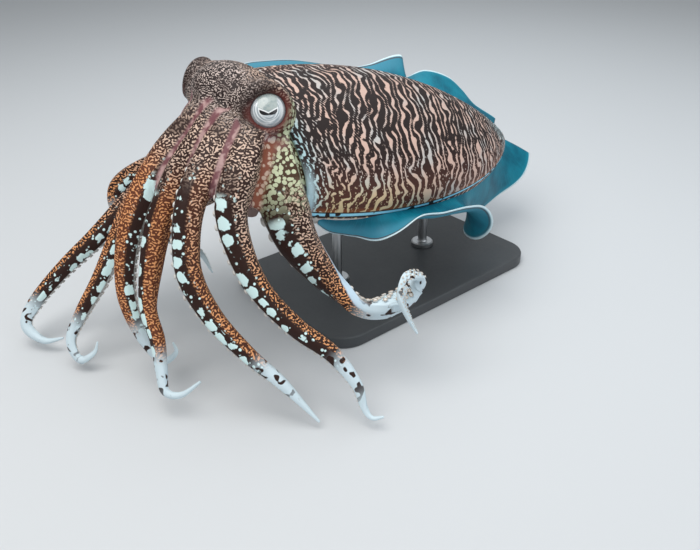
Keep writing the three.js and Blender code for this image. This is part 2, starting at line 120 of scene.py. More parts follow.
camera_data = bpy.data.cameras.new("camera")
camera_data.lens = lens
camera_data.sensor_width = sensor
camera_data.clip_start = near_clip
camera = bpy.data.objects.new("camera", camera_data)
camera.location = Vector(posed([0, 0, camera_distance]))
camera.rotation_euler = Vector(-nearer).to_track_quat("-Z", "Y").to_euler()
bpy.context.scene.collection.objects.link(camera)
bpy.context.scene.camera = camera


def object_of(bm, name):
    """Makes an object of a finished bmesh and places it in the scene."""
    made = bpy.data.meshes.new(name)
    bm.to_mesh(made)
    bm.free()
    piece = bpy.data.objects.new(name, made)
    bpy.context.scene.collection.objects.link(piece)
    return piece


bm = bmesh.new()
bmesh.ops.create_grid(bm, x_segments=1, y_segments=1, size=floor_size / 2)
floor = object_of(bm, "floor")
floor_paper = bpy.data.materials.new("floor_paper")
floor_paper.use_nodes = True
paper_shader = floor_paper.node_tree.nodes["Principled BSDF"]
paper_shader.inputs["Base Color"].default_value = floor_grey
paper_shader.inputs["Roughness"].default_value = floor_roughness
floor.data.materials.append(floor_paper)
floor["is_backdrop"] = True

panels = [
    # name, place as seen, width, power, colour. The top panel faces straight down.
    ("key_panel", [-350, 700, 700], 0.9, 9.5, (1.0, 0.98, 0.95)),
    ("fill_panel", [700, 250, 500], 1.0, 3, (0.92, 0.96, 1.0)),
    ("top_panel", [150, 900, -200], 1.2, 4, (0.9, 0.96, 1.0)),
]
aim = posed([-20, 60, -60])
for name, place_seen, width, power, colour in panels:
    light_data = bpy.data.lights.new(name, "AREA")
    light_data.size = width
    light_data.energy = power
    light_data.color = colour
    light = bpy.data.objects.new(name, light_data)
    at = posed(place_seen)
    light.location = Vector(at)
    if name != "top_panel":
        light.rotation_euler = Vector(aim - at).to_track_quat("-Z", "Y").to_euler()
    bpy.context.scene.collection.objects.link(light)

world = bpy.data.worlds.new("studio")
world.use_nodes = True
sky = world.node_tree.nodes["Background"]
sky.inputs["Color"].default_value = sky_tone
sky.inputs["Strength"].default_value = sky_strength
bpy.context.scene.world = world
bpy.context.scene.view_settings.view_transform = "Standard"

# Body: the mantle, one smooth skin over a dome, drawn in behind to the tail and open in front,
# where its free edge stands round the neck. The skin turns in there to a pocket.
mantle_length = 282
mantle_half_width = 75
dome_height = 39
belly_depth = 33
widest_at = 0.69
front_narrowing = 0.12
tail_tip = [146, 137, -203]
heading_up = math.radians(10.8)
bank_to_left = math.radians(29.7)
side_power = 0.7
rise_power = 0.8
roundness = 0.8

forward = np.array([-math.cos(heading_up), 0.0, math.sin(heading_up)])
level_left = np.array([0.0, -1.0, 0.0])
level_dorsal = np.cross(forward, level_left)
left = level_left * math.cos(bank_to_left) - level_dorsal * math.sin(bank_to_left)
dorsal = np.cross(forward, left)
tail = posed(tail_tip)


def in_mantle(along, leftward, dorsalward):
    """Places in the mantle's own directions, in millimetres from the tail's tip."""
    return tail + mm * (
        np.multiply.outer(along, forward)
        + np.multiply.outer(leftward, left)
        + np.multiply.outer(dorsalward, dorsal)
    )


def ramp(values, low, reach):
    """0 below low, growing evenly to 1 over the given reach."""
    return np.clip((values - low) / reach, 0, 1)


def mantle_shape(share):
    """How full the body is from the tail to its widest place."""
    return np.where(share < widest_at, 1 - (1 - np.minimum(share / widest_at, 1)) ** 2, 1.0)


def mantle_front_shape(share):
    """How the body narrows again towards its open front."""
    return 1 - front_narrowing * np.maximum(0, (share - widest_at) / (1 - widest_at)) ** 2


def mantle_half(share):
    return mantle_half_width * mantle_shape(share) ** side_power * mantle_front_shape(share)


def mantle_surface(share, angle, inset):
    front = mantle_front_shape(share)
    rise = np.where(np.sin(angle) >= 0, dome_height, belly_depth)
    sideways = np.maximum(mantle_half(share) - inset, 0) * np.cos(angle)
    height = np.maximum(rise * mantle_shape(share) ** rise_power * front - inset, 0)
    lift = height * np.sign(np.sin(angle)) * np.abs(np.sin(angle)) ** roundness
    return in_mantle(share * mantle_length, sideways, lift)


weld = 2e-6


def sheet_mesh(name, columns, rows, place_at, wrap):
    """A grid of skin, each vertex moved to place_at(across, along), its edges welded where they meet.
    With wrap it closes on itself across. The two shares stay on the mesh as attributes."""
    bm = bmesh.new()
    bmesh.ops.create_grid(bm, x_segments=columns, y_segments=rows, size=0.5)
    across_layer = bm.verts.layers.float.new("across")
    along_layer = bm.verts.layers.float.new("along")
    flat = np.round(np.array([vertex.co for vertex in bm.verts]) + 0.5, 7)
    places = place_at(flat[:, 0], flat[:, 1])
    for vertex, place_of, shares in zip(bm.verts, places, flat):
        vertex.co = place_of
        vertex[across_layer] = 0.0 if wrap and shares[0] >= 1 else shares[0]
        vertex[along_layer] = shares[1]
    bmesh.ops.remove_doubles(bm, verts=bm.verts, dist=weld)
    bmesh.ops.recalc_face_normals(bm, faces=bm.faces)
    piece = object_of(bm, name)
    piece.data.shade_smooth()
    return piece


def values_of(piece, attribute):
    found = np.empty(len(piece.data.vertices))
    piece.data.attributes[attribute].data.foreach_get("value", found)
    return found


def points_of(piece):
    found = np.empty(len(piece.data.vertices) * 3)
    piece.data.vertices.foreach_get("co", found)
    return found.reshape(-1, 3)


def store(piece, attribute, values):
    """Keeps a number or a vector at each vertex, for the finish to read."""
    values = np.asarray(values, float)
    kind, field = ("FLOAT", "value") if values.ndim == 1 else ("FLOAT_VECTOR", "vector")
    made = piece.data.attributes.get(attribute) or piece.data.attributes.new(attribute, kind, "POINT")
    made.data.foreach_set(field, values.astype(np.float32).ravel())


mantle_rows = 300
mantle_columns = 320
lip_radius = 1.3
pocket_depth = 26
pocket_slope = 7
tail_fullness = 0.9
outer_part = 0.86
lip_part = 0.9
pocket_part = 0.97


def mantle_profile(run):
    """The share along the mantle and the inset from its outer form, from the tail's tip over the
    front edge and back into the pocket."""
    outer = ramp(run, 0, outer_part)
    share = (1 - np.cos(np.pi / 2 * outer)) ** tail_fullness
    turn = ramp(run, outer_part, lip_part - outer_part) * np.pi
    inset = lip_radius * (1 - np.cos(turn))
    share = share + lip_radius * np.sin(turn) / mantle_length
    back = ramp(run, lip_part, pocket_part - lip_part)
    share = share - back * pocket_depth / mantle_length
    inset = inset + back * pocket_slope
    close = ramp(run, pocket_part, 1 - pocket_part)
    return share, inset + close * mantle_half_width


def mantle_place(around, run):
    share, inset = mantle_profile(run)
    return mantle_surface(share, 2 * np.pi * around, inset)


mantle_skin = sheet_mesh("mantle_skin", mantle_columns, mantle_rows, mantle_place, True)

# Where the dark and pale lines of the body lie: counted along the body, closer at the tail and
# behind the head, and measured round it from the middle of the back.
line_places = [0.0, 0.1, 0.25, 0.42, 0.7, 0.88, 1.0]
line_spacing = [3.2, 4.0, 6.3, 8.2, 8.6, 6.8, 4.8]
lines_swept_back = 6.0
sweep_width = 0.7
counted = np.linspace(0, 1, 400)
line_density = 1 / np.interp(counted, line_places, line_spacing)
line_steps = (line_density[1:] + line_density[:-1]) / 2 * np.diff(counted)
line_count = np.concatenate([[0], np.cumsum(line_steps)]) * mantle_length

run = values_of(mantle_skin, "along")
angle = 2 * np.pi * values_of(mantle_skin, "across")
share, inset = mantle_profile(run)
from_back = (angle - np.pi / 2 + np.pi) % (2 * np.pi) - np.pi
share_within = np.clip(share, 0, 1)
girth = (mantle_half(share_within) + dome_height * mantle_shape(share_within)) / 2
swept = lines_swept_back / 2 * (1 + np.tanh(from_back / sweep_width))
lines = np.stack([
    np.interp(share, counted, line_count) + swept,
    from_back * girth / np.interp(share, line_places, line_spacing),
    np.zeros_like(share),
], 1)
store(mantle_skin, "lines", lines)


first_noise = 0.3
growth = 0.9
stiffness = 2.2
growth_step = 0.35


def waves_of(shape, cells):
    """The squared number of waves per unit in a field's spectrum, in all and down the field."""
    across = np.fft.fftfreq(shape[0], 1 / cells)[:, None] ** 2
    down_line = np.fft.rfftfreq(shape[1], 1 / cells)[None, :] ** 2
    return across + down_line, down_line


def grown_lines(closeness, straightness, skew, cells, rounds, seed):
    """A field of ridges grown from noise, a unit apart where closeness is 1. They run along the
    second axis the more straight the greater straightness is, and branch where they must."""
    field = np.random.default_rng(seed).normal(0, first_noise, closeness.shape)
    square, down_line = waves_of(closeness.shape, cells)
    rate = growth - stiffness * (1 - square) ** 2
    for _ in range(rounds):
        spectrum = np.fft.rfft2(field)
        bent_more = np.fft.irfft2(-square * spectrum, field.shape)
        bent_down = np.fft.irfft2(-down_line * spectrum, field.shape)
        change = skew * field ** 2 - field ** 3 + straightness * bent_down
        change -= stiffness * ((closeness ** 4 - 1) * field + 2 * (closeness ** 2 - 1) * bent_more)
        spectrum = (spectrum + growth_step * np.fft.rfft2(change)) / (1 - growth_step * rate)
        spectrum[0, 0] = 0
        field = np.fft.irfft2(spectrum, field.shape)
    return field


def soft_noise(shape, size, cells, seed):
    """Even noise whose patches are about size units across, with a spread of one."""
    spectrum = np.fft.rfft2(np.random.default_rng(seed).normal(size=shape))
    made = np.fft.irfft2(spectrum * np.exp(-waves_of(shape, cells)[0] * (2 * size) ** 2), shape)
    return (made - made.mean()) / made.std()


def read_field(field, cells, places):
    """The field's value between its cells, at places given in units from its first corner."""
    at = places * cells
    low = np.clip(np.floor(at).astype(int), 0, np.array(field.shape) - 2)
    part = np.clip(at - low, 0, 1)
    x, y = low.T
    first = field[x, y] * (1 - part[:, 1]) + field[x, y + 1] * part[:, 1]
    second = field[x + 1, y] * (1 - part[:, 1]) + field[x + 1, y + 1] * part[:, 1]
    return first * (1 - part[:, 0]) + second * part[:, 0]


# The lines are grown on a flat patch as wide as their count and as high as the body is round:
# closer on the back, wandering behind the head, and drawn together in pale knots on the flanks.
cells = 8
edge = 2.0
closer_on_back = 0.32
straightness = 0.4
looser_at_neck = 0.3
back_half = 1.15
back_fade = 0.5
neck_from = 0.82
neck_fade = 0.12
skew = 0.45
growth_rounds = 75
knots = 36
smallest_knot = 0.2
greatest_knot = 0.34
knot_strength = 1.1
knot_stretch = 1.7
ragged_strength = 0.14
wander_sizes = (0.8, 1.2)
wander_strength = [0.2, 0.25]
half_round = np.abs(lines[:, 1]).max() + edge
patch = (int((lines[:, 0].max() + 2 * edge) * cells), int(2 * half_round * cells))
patch_count = np.arange(patch[0])[:, None] / cells - edge
patch_round = np.arange(patch[1])[None, :] / cells - half_round
patch_share = np.interp(patch_count[:, 0], line_count, counted)
patch_girth = np.interp(patch_share, share[np.argsort(share)], girth[np.argsort(share)])[:, None]
patch_spacing = np.interp(patch_share, line_places, line_spacing)[:, None]
patch_angle = np.abs(patch_round) * patch_spacing / patch_girth
on_back = ramp(-patch_angle, -back_half, back_fade)
at_neck = ramp(patch_share, neck_from, neck_fade)[:, None]
pattern = grown_lines(
    1 + closer_on_back * on_back, straightness - looser_at_neck * at_neck, skew, cells, growth_rounds, 11
)
random = np.random.default_rng(5)
for knot in range(knots):
    knot_at = random.uniform([0, 0.5], [1.3, 1.35])
    knot_at = knot_at + [3 + knot // 2 * (line_count[-1] - 4) / (knots // 2), 0]
    knot_side = 1 - 2 * (knot % 2)
    knot_size = random.uniform(smallest_knot, greatest_knot)
    knot_girth = np.interp(knot_at[0], patch_count[:, 0], patch_girth[:, 0])
    knot_spacing = np.interp(np.interp(knot_at[0], line_count, counted), line_places, line_spacing)
    knot_round = knot_side * knot_at[1] * knot_girth / knot_spacing
    away = ((patch_count - knot_at[0]) / knot_size) ** 2
    away = away + ((patch_round - knot_round) / knot_size / knot_stretch) ** 2
    pattern += knot_strength * np.exp(-away) * np.clip(0.3 + pattern, 0, 1)
pattern += ragged_strength * soft_noise(patch, 0.3, cells, 2)
lie = lines[:, :2] + [edge, half_round]
wander = [
    read_field(soft_noise(patch, size, cells, 7 + k), cells, lie) for k, size in enumerate(wander_sizes)
]
lie = lie + np.stack(wander, 1) * wander_strength
store(mantle_skin, "pattern", read_field(pattern, cells, lie))
store(mantle_skin, "share", np.clip(share, 0, 1.2))
store(mantle_skin, "off_back", np.abs(from_back) / np.pi)
store(mantle_skin, "inset", inset)
store(mantle_skin, "above_fin", (np.pi / 2 - np.abs(from_back)) * girth)


class Finish:
    """A procedural finish on one shader, built up from its nodes."""

    def __init__(self, name, roughness, specular=0.4):
        self.material = bpy.data.materials.new(name)
        self.material.use_nodes = True
        self.tree = self.material.node_tree
        self.shader = self.tree.nodes["Principled BSDF"]
        self.shader.inputs["Roughness"].default_value = roughness
        self.shader.inputs["Specular IOR Level"].default_value = specular

    def feed(self, socket, value):
        """Links a socket to another, or sets its own number or colour."""
        if isinstance(value, bpy.types.NodeSocket):
            self.tree.links.new(value, socket)
        elif hasattr(value, "__len__") and len(value) == 3 and len(socket.default_value) == 4:
            socket.default_value = (*value, 1)
        else:
            socket.default_value = value

    def node(self, kind, sockets, **settings):
        made = self.tree.nodes.new(kind)
        for setting, value in settings.items():
            setattr(made, setting, value)
        for socket, value in sockets.items():
            self.feed(made.inputs[socket], value)
        return made

    def math(self, operation, first, second=0.0, third=0.0):
        return self.node("ShaderNodeMath", {0: first, 1: second, 2: third}, operation=operation).outputs[0]

    def times(self, first, *others):
        """The product of several values."""
        for other in others:
            first = self.math("MULTIPLY", first, other)
        return first

    def step(self, value, low, high):
        """0 below low, 1 above high, smooth between."""
        sockets = {"Value": value, "From Min": low, "From Max": high}
        return self.node("ShaderNodeMapRange", sockets, interpolation_type="SMOOTHSTEP").outputs["Result"]

    def between(self, value, low, high, soft):
        """1 from low to high, with soft edges."""
        rising = self.step(value, low - soft, low + soft)
        falling = self.step(value, high + soft, high - soft)
        return self.times(rising, falling)

    def mix(self, share, first, second):
        """The first colour, turning to the second as share grows to 1."""
        made = self.node("ShaderNodeMix", {}, data_type="RGBA")
        self.feed(made.inputs[0], share)
        self.feed(made.inputs[6], first)
        self.feed(made.inputs[7], second)
        return made.outputs[2]

    def layers(self, colour, *further):
        """The colour with further ones laid over it in turn, each by its share."""
        for share, tone in further:
            colour = self.mix(share, colour, tone)
        return colour

    def attribute(self, name, output="Fac"):
        return self.node("ShaderNodeAttribute", {}, attribute_name=name).outputs[output]

    def place(self):
        return self.node("ShaderNodeTexCoord", {}).outputs["Object"]

    def noise(self, vector, scale, detail=2.0, output="Fac"):
        sockets = {"Vector": vector, "Scale": scale, "Detail": detail}
        return self.node("ShaderNodeTexNoise", sockets).outputs[output]

    def cells(self, vector, scale, randomness=1.0):
        """How far each place is from the middle of its cell."""
        sockets = {"Vector": vector, "Scale": scale, "Randomness": randomness}
        return self.node("ShaderNodeTexVoronoi", sockets).outputs["Distance"]

    def maze(self, vector, scale, frequency):
        """A labyrinth of winding lines."""
        sockets = {"Vector": vector, "Scale": scale, "Frequency": frequency, "Anisotropy": 0.0}
        return self.node("ShaderNodeTexGabor", sockets, gabor_type="3D").outputs["Value"]

    def moved(self, vector, by, strength):
        """The coordinates pushed about by a noise colour."""
        kind = "ShaderNodeVectorMath"
        push = self.node(kind, {0: by, 1: (0.5, 0.5, 0.5)}, operation="SUBTRACT").outputs[0]
        push = self.node(kind, {0: push, "Scale": strength}, operation="SCALE").outputs[0]
        return self.node(kind, {0: vector, 1: push}, operation="ADD").outputs[0]

    def bump(self, height, distance, strength, under=None):
        sockets = {"Height": height, "Distance": distance, "Strength": strength}
        made = self.node("ShaderNodeBump", sockets)
        if under is not None:
            self.feed(made.inputs["Normal"], under)
        return made.outputs["Normal"]

    def finish(self, piece, colour, normal=None, roughness=None):
        self.feed(self.shader.inputs["Base Color"], colour)
        if normal is not None:
            self.feed(self.shader.inputs["Normal"], normal)
        if roughness is not None:
            self.feed(self.shader.inputs["Roughness"], roughness)
        piece.data.materials.clear()
        piece.data.materials.append(self.material)


black_brown = (0.018, 0.010, 0.009)
red_brown = (0.085, 0.028, 0.018)
orange_brown = (0.25, 0.075, 0.022)
pink_cream = (0.62, 0.43, 0.36)
# A painted tint of light: the bluish cast that the light gives the pale lines.
blue_light_tint = (0.50, 0.72, 0.76)
belly_cream = (0.62, 0.58, 0.55)
fin_line_blue = (0.36, 0.78, 0.98)
grey_white = (0.52, 0.50, 0.48)
low_yellow = (0.70, 0.56, 0.27)
freckle_brown = (0.22, 0.12, 0.1)
collar_blue = (0.45, 0.62, 0.68)
lining_blue = (0.45, 0.60, 0.66)
dot_scale = 410.0
freckle_scale = 260.0
grain_scale = 900.0
line_relief = 0.0004
grain_relief = 0.0003

# Above the fin's root runs a bright dashed line with dark edges, higher towards the tail, where the
# fin is thicker. The lines above it turn orange-brown low down and yellow in front.
body = Finish("mantle_pattern", 0.5, 0.2)
lines_at = body.attribute("lines", "Vector")
share_at = body.attribute("share")
down = body.attribute("off_back")
above_fin = body.attribute("above_fin")
above_line = body.math("MULTIPLY_ADD", body.step(share_at, 0.9, 0.3), -4.6, above_fin)
ragged = body.noise(lines_at, 1.6, 3.0)
ridge = body.math("MULTIPLY_ADD", ragged, 1.3, body.attribute("pattern"))
thickness = body.math("MULTIPLY_ADD", body.noise(lines_at, 0.25, 1.0), 0.6, 0.78)
pale = body.step(body.math("SUBTRACT", ridge, thickness), -0.14, 0.14)
dark_tone = body.mix(body.step(down, 0.18, 0.44), black_brown, red_brown)
dark_tone = body.mix(body.between(above_line, 0.5, 6, 3), dark_tone, orange_brown)
pale_tone = body.layers(
    pink_cream,
    (body.step(body.noise(lines_at, 0.3), 0.45, 0.7), grey_white),
    (body.times(body.step(share_at, 0.45, 0.85), body.step(down, 0.26, 0.44), 0.7), low_yellow),
    # Near the tail and at the front the pale lines turn blue-white: painted light, not the skin's own
    # colour.
    (body.step(share_at, 0.16, 0.03), blue_light_tint),
    (body.step(share_at, 0.93, 1.0), blue_light_tint),
)
dots = body.step(body.cells(body.place(), dot_scale), 0.29, 0.21)
dots = body.times(dots, body.step(down, 0.12, 0.3))
dash = body.step(body.noise(lines_at, 0.8, 0.0), 0.35, 0.40)
dash_line = body.times(body.between(above_line, -0.2, 2.0, 0.3), dash)
freckle = body.step(body.cells(body.place(), freckle_scale), 0.22, 0.12)
under_tone = body.mix(body.times(freckle, 0.5), belly_cream, freckle_brown)
colour = body.layers(
    dark_tone,
    (body.math("MAXIMUM", pale, body.times(dots, 0.75)), pale_tone),
    (body.between(above_line, -1.5, 3.2, 0.4), black_brown),
    (dash_line, fin_line_blue),
    (body.step(above_fin, -1.5, -4.0), under_tone),
    (body.times(body.step(share_at, 0.975, 0.995), body.step(down, 0.2, 0.35), 0.9), collar_blue),
    (body.step(body.attribute("inset"), 0.3, 2.0), lining_blue),
)
grain = body.noise(body.place(), grain_scale, 3.0)
relief = body.bump(pale, line_relief, 0.5)
relief = body.bump(grain, grain_relief, 0.35, relief)
body.finish(mantle_skin, colour, relief)
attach(mantle_skin, "root")
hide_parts("mantle")

# Fins: a thin clear ribbon along each side of the body, joined to it in a thicker root.
# Each is one sheet of skin, drawn over the same stations as the body's edge, with a rounded rim.
fin_root_thickness = 2.6
fin_edge_thickness = 1.0
fin_root_depth = 3
fin_stations = 260
fin_columns = 40
fin_rim = 0.94
edge_sample = 0.01
coarse_columns = 4
fins = {
    # place along the body from the tail's tip, width, slope of the inner and outer half, lean
    "left": [
        (0.95, 6, -60, -75, 0), (0.9, 14, -70, -85, 0), (0.84, 18, -70, -90, 0), (0.8, 18, -60, -60, 0),
        (0.76, 21, -30, 40, 0), (0.7, 26, 10, 85, 5), (0.62, 32, 10, 95, 5), (0.53, 36, 8, 100, 5),
        (0.46, 38, 0, 90, 5), (0.42, 40, -20, 50, 0), (0.385, 41, -40, -40, 0), (0.33, 40, -60, -80, -5),
        (0.23, 38, -60, -85, -10), (0.13, 34, -50, -65, -10), (0.06, 32, -20, -30, -10),
        (0.015, 30, 0, -10, -5),
    ],
    "right": [
        (0.95, 6, -5, -5, 0), (0.88, 20, -5, -10, 0), (0.78, 30, -10, -20, 0), (0.68, 33, -10, -20, 0),
        (0.58, 33, -10, -25, 0), (0.48, 33, -10, -30, 0), (0.4, 34, -5, -5, 0), (0.32, 37, 15, 30, 0),
        (0.28, 33, 0, -30, 0), (0.22, 39, 5, 5, 0), (0.15, 41, 5, 10, 0), (0.1, 38, 0, 0, 0),
        (0.06, 28, -5, -10, 0), (0.015, 22, -5, -5, 0),
    ],
}


def spline(rows, at, free_ends):
    """A smooth curve through rows of numbers, at shares 0 to 1 of its length in rows."""
    rows = np.asarray(rows, float)
    last = len(rows) - 1
    run = np.clip(at, 0, 1) * last
    i = np.minimum(run.astype(int), last - 1)
    t = (run - i)[:, None]
    if free_ends:
        padded = np.vstack([2 * rows[0] - rows[1], rows, 2 * rows[-1] - rows[-2]])
    else:
        padded = np.vstack([rows[0], rows, rows[-1]])
    before, start, end, after = (padded[i + k] for k in range(4))
    leave, arrive = (end - before) / 2, (after - start) / 2
    return (
        (2 * start - 2 * end + leave + arrive) * t ** 3
        + (3 * end - 3 * start - 2 * leave - arrive) * t ** 2
        + leave * t
        + start
    )


def fin_sheet(side, rows):
    """The middle of the fin at each station and column, and the way its upper face looks."""
    stations = spline(rows, np.linspace(0, 1, fin_stations + 1), False)
    share = np.maximum(stations[:, 0], 0.004)
    half = mantle_half(share)
    ahead = mantle_half(share + edge_sample) - half
    outward = unit(side * left * mantle_length * edge_sample - ahead[:, None] * forward)
    at = in_mantle(stations[:, 0] * mantle_length, side * half, np.zeros_like(half))
    at = at - outward * fin_root_depth * mm
    swing = np.radians(stations[:, 4])[:, None]
    step = (stations[:, 1] + fin_root_depth)[:, None] / fin_columns * mm
    middles, faces = [], []
    for k in range(fin_columns + 1):
        reach = k / fin_columns - 0.5 / coarse_columns
        slope = np.radians(stations[:, 2] + (stations[:, 3] - stations[:, 2]) * reach)[:, None]
        away = outward * np.cos(slope) + dorsal * np.sin(slope)
        away = away * np.cos(swing) + forward * np.sin(swing)
        middles.append(at.copy())
        faces.append(unit(np.cross(away, forward)) * -side)
        at = at + away * step
    return np.array(middles), np.array(faces)


def fin_piece(name, side, rows):
    """The whole fin as one skin, rounded at its rim, and thick and open at its root in the body."""
    middles, faces = fin_sheet(side, rows)

    def place_at(section, along):
        """The section runs out along the upper face, round the rim and back along the lower."""
        station = np.rint(along * fin_stations).astype(int)
        out = 1 - np.abs(2 * section - 1)
        column = out * fin_columns
        low = np.minimum(column.astype(int), fin_columns - 1)
        part = (column - low)[:, None]
        at = middles[low, station] * (1 - part) + middles[low + 1, station] * part
        face = unit(faces[low, station] * (1 - part) + faces[low + 1, station] * part)
        thick = fin_root_thickness + (fin_edge_thickness - fin_root_thickness) * out
        rounded = np.sqrt(1 - ramp(out, fin_rim, 1 - fin_rim) ** 2)
        ends = np.sqrt(np.clip(np.minimum(along, 1 - along) * 60, 0, 1))
        upper = np.where(section < 0.5, 1, -1)
        offset = thick / 2 * rounded * ends * upper * mm
        return at + face * offset[:, None]

    piece = sheet_mesh(name, 2 * fin_columns, fin_stations, place_at, False)
    section = values_of(piece, "across")
    along = values_of(piece, "along")
    out = 1 - np.abs(2 * section - 1)
    width = spline(rows, along, False)[:, 1] + fin_root_depth
    store(piece, "out", out)
    store(piece, "fibres", np.stack([along * 60, out * width * 0.02, np.zeros_like(out)], 1))
    return piece


fin_teal = (0.0, 0.10, 0.16)
fin_pale = (0.004, 0.22, 0.31)
fin_lavender = (0.06, 0.27, 0.38)
fin_edge = (0.75, 0.92, 0.97)
rim_brown = (0.09, 0.045, 0.035)
fibre_relief = 0.0004
for side_name, side in (("left", 1), ("right", -1)):
    fin = fin_piece(f"fin_{side_name}_skin", side, fins[side_name])
    membrane = Finish(f"fin_{side_name}_membrane", 0.45, 0.2)
    out = membrane.attribute("out")
    fibres = membrane.noise(membrane.attribute("fibres", "Vector"), 3.0, 4.0)
    cloud = membrane.noise(membrane.place(), 45.0, 3.0)
    front_part = membrane.step(membrane.attribute("along"), 0.75, 0.45)
    tone = membrane.layers(
        fin_teal,
        (membrane.step(cloud, 0.3, 0.75), fin_pale),
        (membrane.times(membrane.step(fibres, 0.5, 0.8), 0.5), fin_pale),
        (membrane.step(out, 0.78, 0.97), fin_pale),
        (membrane.times(membrane.step(out, 0.35, 0.8), front_part, 0.85), fin_lavender),
        (membrane.step(out, 0.93, 0.98), fin_edge),
        (membrane.times(membrane.between(out, 0.9, 0.94, 0.012), front_part, 0.8), rim_brown),
    )
    membrane.finish(fin, tone, membrane.bump(fibres, fibre_relief, 0.5))
    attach(fin, "root")
    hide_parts(f"fin_{side_name}")

# Arms: eight tapering arms round the mouth, flat on the side that carries the suckers, with a low
# keel outside and a thin edge of skin beside the suckers. Their roots run together into the head.
arms = {
    # points of the middle line with the arm's width there, the share that lies in the ring of
    # roots, where the sucker side looks at the root and at the tip, and the keel's height
    "left_1": ([
        (-84, 108, 27, 20), (-97, 88, 30, 19), (-113, 64, 26, 19), (-126, 35, 22, 18), (-132, 5, 21, 15),
        (-134, -22, 21, 11), (-128, -43, 21, 10), (-125, -63, 22, 8), (-122, -77, 24, 5.5),
        (-111, -79, 26, 4), (-98, -70, 28, 1.6),
    ], 0.33, (-0.6, -0.1, -0.75), (-0.5, -0.1, -0.8), 0.12),
    "left_2": ([
        (-76, 100, 33, 20), (-89, 74, 41, 21), (-100, 47, 46, 20), (-104, 22, 44, 19), (-102, -2, 41, 18),
        (-88, -28, 37, 15), (-67, -51, 34, 12), (-44, -71, 32, 9), (-20, -96, 30, 1.8),
    ], 0.25, (-0.75, -0.2, -0.6), (-0.75, -0.5, -0.45), 0.12),
    "left_3": ([
        (-62, 95, 36, 20), (-68, 68, 44, 23), (-75, 42, 46, 22), (-70, 15, 42, 19), (-57, -11, 38, 16),
        (-35, -34, 35, 14), (-12, -51, 33, 12.5), (4, -71, 32, 8.5), (9, -86, 31, 5.5),
        (14, -93, 32, 3.5), (22, -92, 34, 1.6),
    ], 0.24, (-0.7, -0.2, -0.65), (-0.7, -0.5, -0.5), 0.14),
    "left_4": ([
        (-54, 92, 22, 26), (-49, 66, 24, 32), (-43, 44, 24, 34), (-35, 24, 21, 29), (-23, 7, 18, 22),
        (-9, -9, 15, 15), (8, -21, 13, 14), (26, -20, 11, 18), (41, -13, 3, 15), (47, -1, 10, 9),
        (38, -2, 22, 7.5), (34, -15, 25, 6.5), (39, -28, 22, 5), (45, -39, 20, 1.8),
    ], 0.25, (-0.65, -0.3, -0.7), (0.5, 0.7, 0.5), 0.26),
    "right_1": ([
        (-91, 112, 20, 20), (-114, 90, 18, 20), (-133, 65, 17, 20), (-145, 38, 15, 20),
        (-151, 13, 12, 17.5), (-152, -12, 9, 15), (-147, -32, 6, 12), (-138, -50, 3, 8),
        (-128, -59, 3, 5), (-119, -53, 6, 3.5), (-121, -46, 7, 1.6),
    ], 0.3, (0.8, -0.1, -0.55), (0.7, -0.1, -0.65), 0.12),
    "right_2": ([
        (-101, 116, -5, 18), (-129, 89, -12, 19), (-153, 55, -20, 18), (-169, 22, -24, 17),
        (-181, -4, -25, 15), (-194, -27, -25, 12), (-202, -47, -24, 8.5), (-195, -61, -22, 6),
        (-184, -56, -20, 4), (-181, -48, -18, 1.6),
    ], 0.25, (0.8, -0.3, -0.5), (0.8, -0.2, -0.5), 0.12),
    "right_3": ([
        (-101, 106, -26, 17), (-137, 79, -36, 18), (-165, 54, -42, 18), (-190, 29, -46, 17),
        (-216, 5, -48, 14.5), (-238, -21, -48, 12.5), (-244, -38, -46, 9), (-230, -49, -43, 5),
        (-214, -47, -40, 1.6),
    ], 0.22, (0.6, -0.5, -0.6), (0.6, -0.3, -0.65), 0.14),
    "right_4": ([
        (-88, 95, -36, 17), (-125, 92, -60, 18), (-160, 84, -70, 18), (-182, 69, -72, 17),
        (-181, 50, -74, 15), (-161, 37, -72, 12), (-136, 27, -66, 9), (-116, 18, -58, 6),
        (-105, 2, -53, 1.6),
    ], 0.18, (0.3, -0.8, -0.5), (0.3, 0.8, -0.5), 0.26),
}
oral_thickness = 0.3
outer_thickness = 0.44
curve_samples = 1500


class Arm:
    """One arm's middle line, with its directions and width at any share of its length."""

    def __init__(self, name, route, crown, face_root, face_tip, keel):
        self.name = name
        self.crown = crown
        self.keel = keel
        self.mirror = 1 if name.startswith("right") else -1
        rows = np.array(route, float)
        self.t = np.linspace(0, 1, curve_samples + 1)
        self.line = posed(spline(rows[:, :3], self.t, True))
        steps = np.linalg.norm(np.diff(self.line, axis=0), axis=1)
        self.run = np.concatenate([[0], np.cumsum(steps)])
        self.length = self.run[-1] / mm
        self.widths = np.interp(self.t * (len(rows) - 1), np.arange(len(rows)), rows[:, 3])
        self.tangents = unit(np.gradient(self.line, axis=0))
        self.faces = np.array([face_root, face_tip], float)

    def at(self, share):
        """Place, tangent, sucker side, sideways direction and width (mm) at shares of the length."""
        share = np.clip(np.asarray(share, float), 0, 1)
        run = share * self.run[-1]
        pick = lambda values: np.stack([np.interp(run, self.run, values[:, k]) for k in range(3)], 1)
        place = pick(self.line)
        tangent = unit(pick(self.tangents))
        ends = unit(self.faces) @ pose_axes
        inner = ends[0] * (1 - share)[:, None] + ends[1] * share[:, None]
        inner = unit(inner - tangent * np.sum(inner * tangent, 1, keepdims=True))
        return place, tangent, inner, np.cross(tangent, inner), np.interp(run, self.run, self.widths)


arm_set = {name: Arm(name, *facts) for name, facts in arms.items()}
edge_skin = 0.05
edge_at = 0.94
edge_reach = 0.06
groove = 0.035
groove_reach = 0.3
keel_reach = 0.28
sucker_side_power = 0.75
cap_part = 0.02


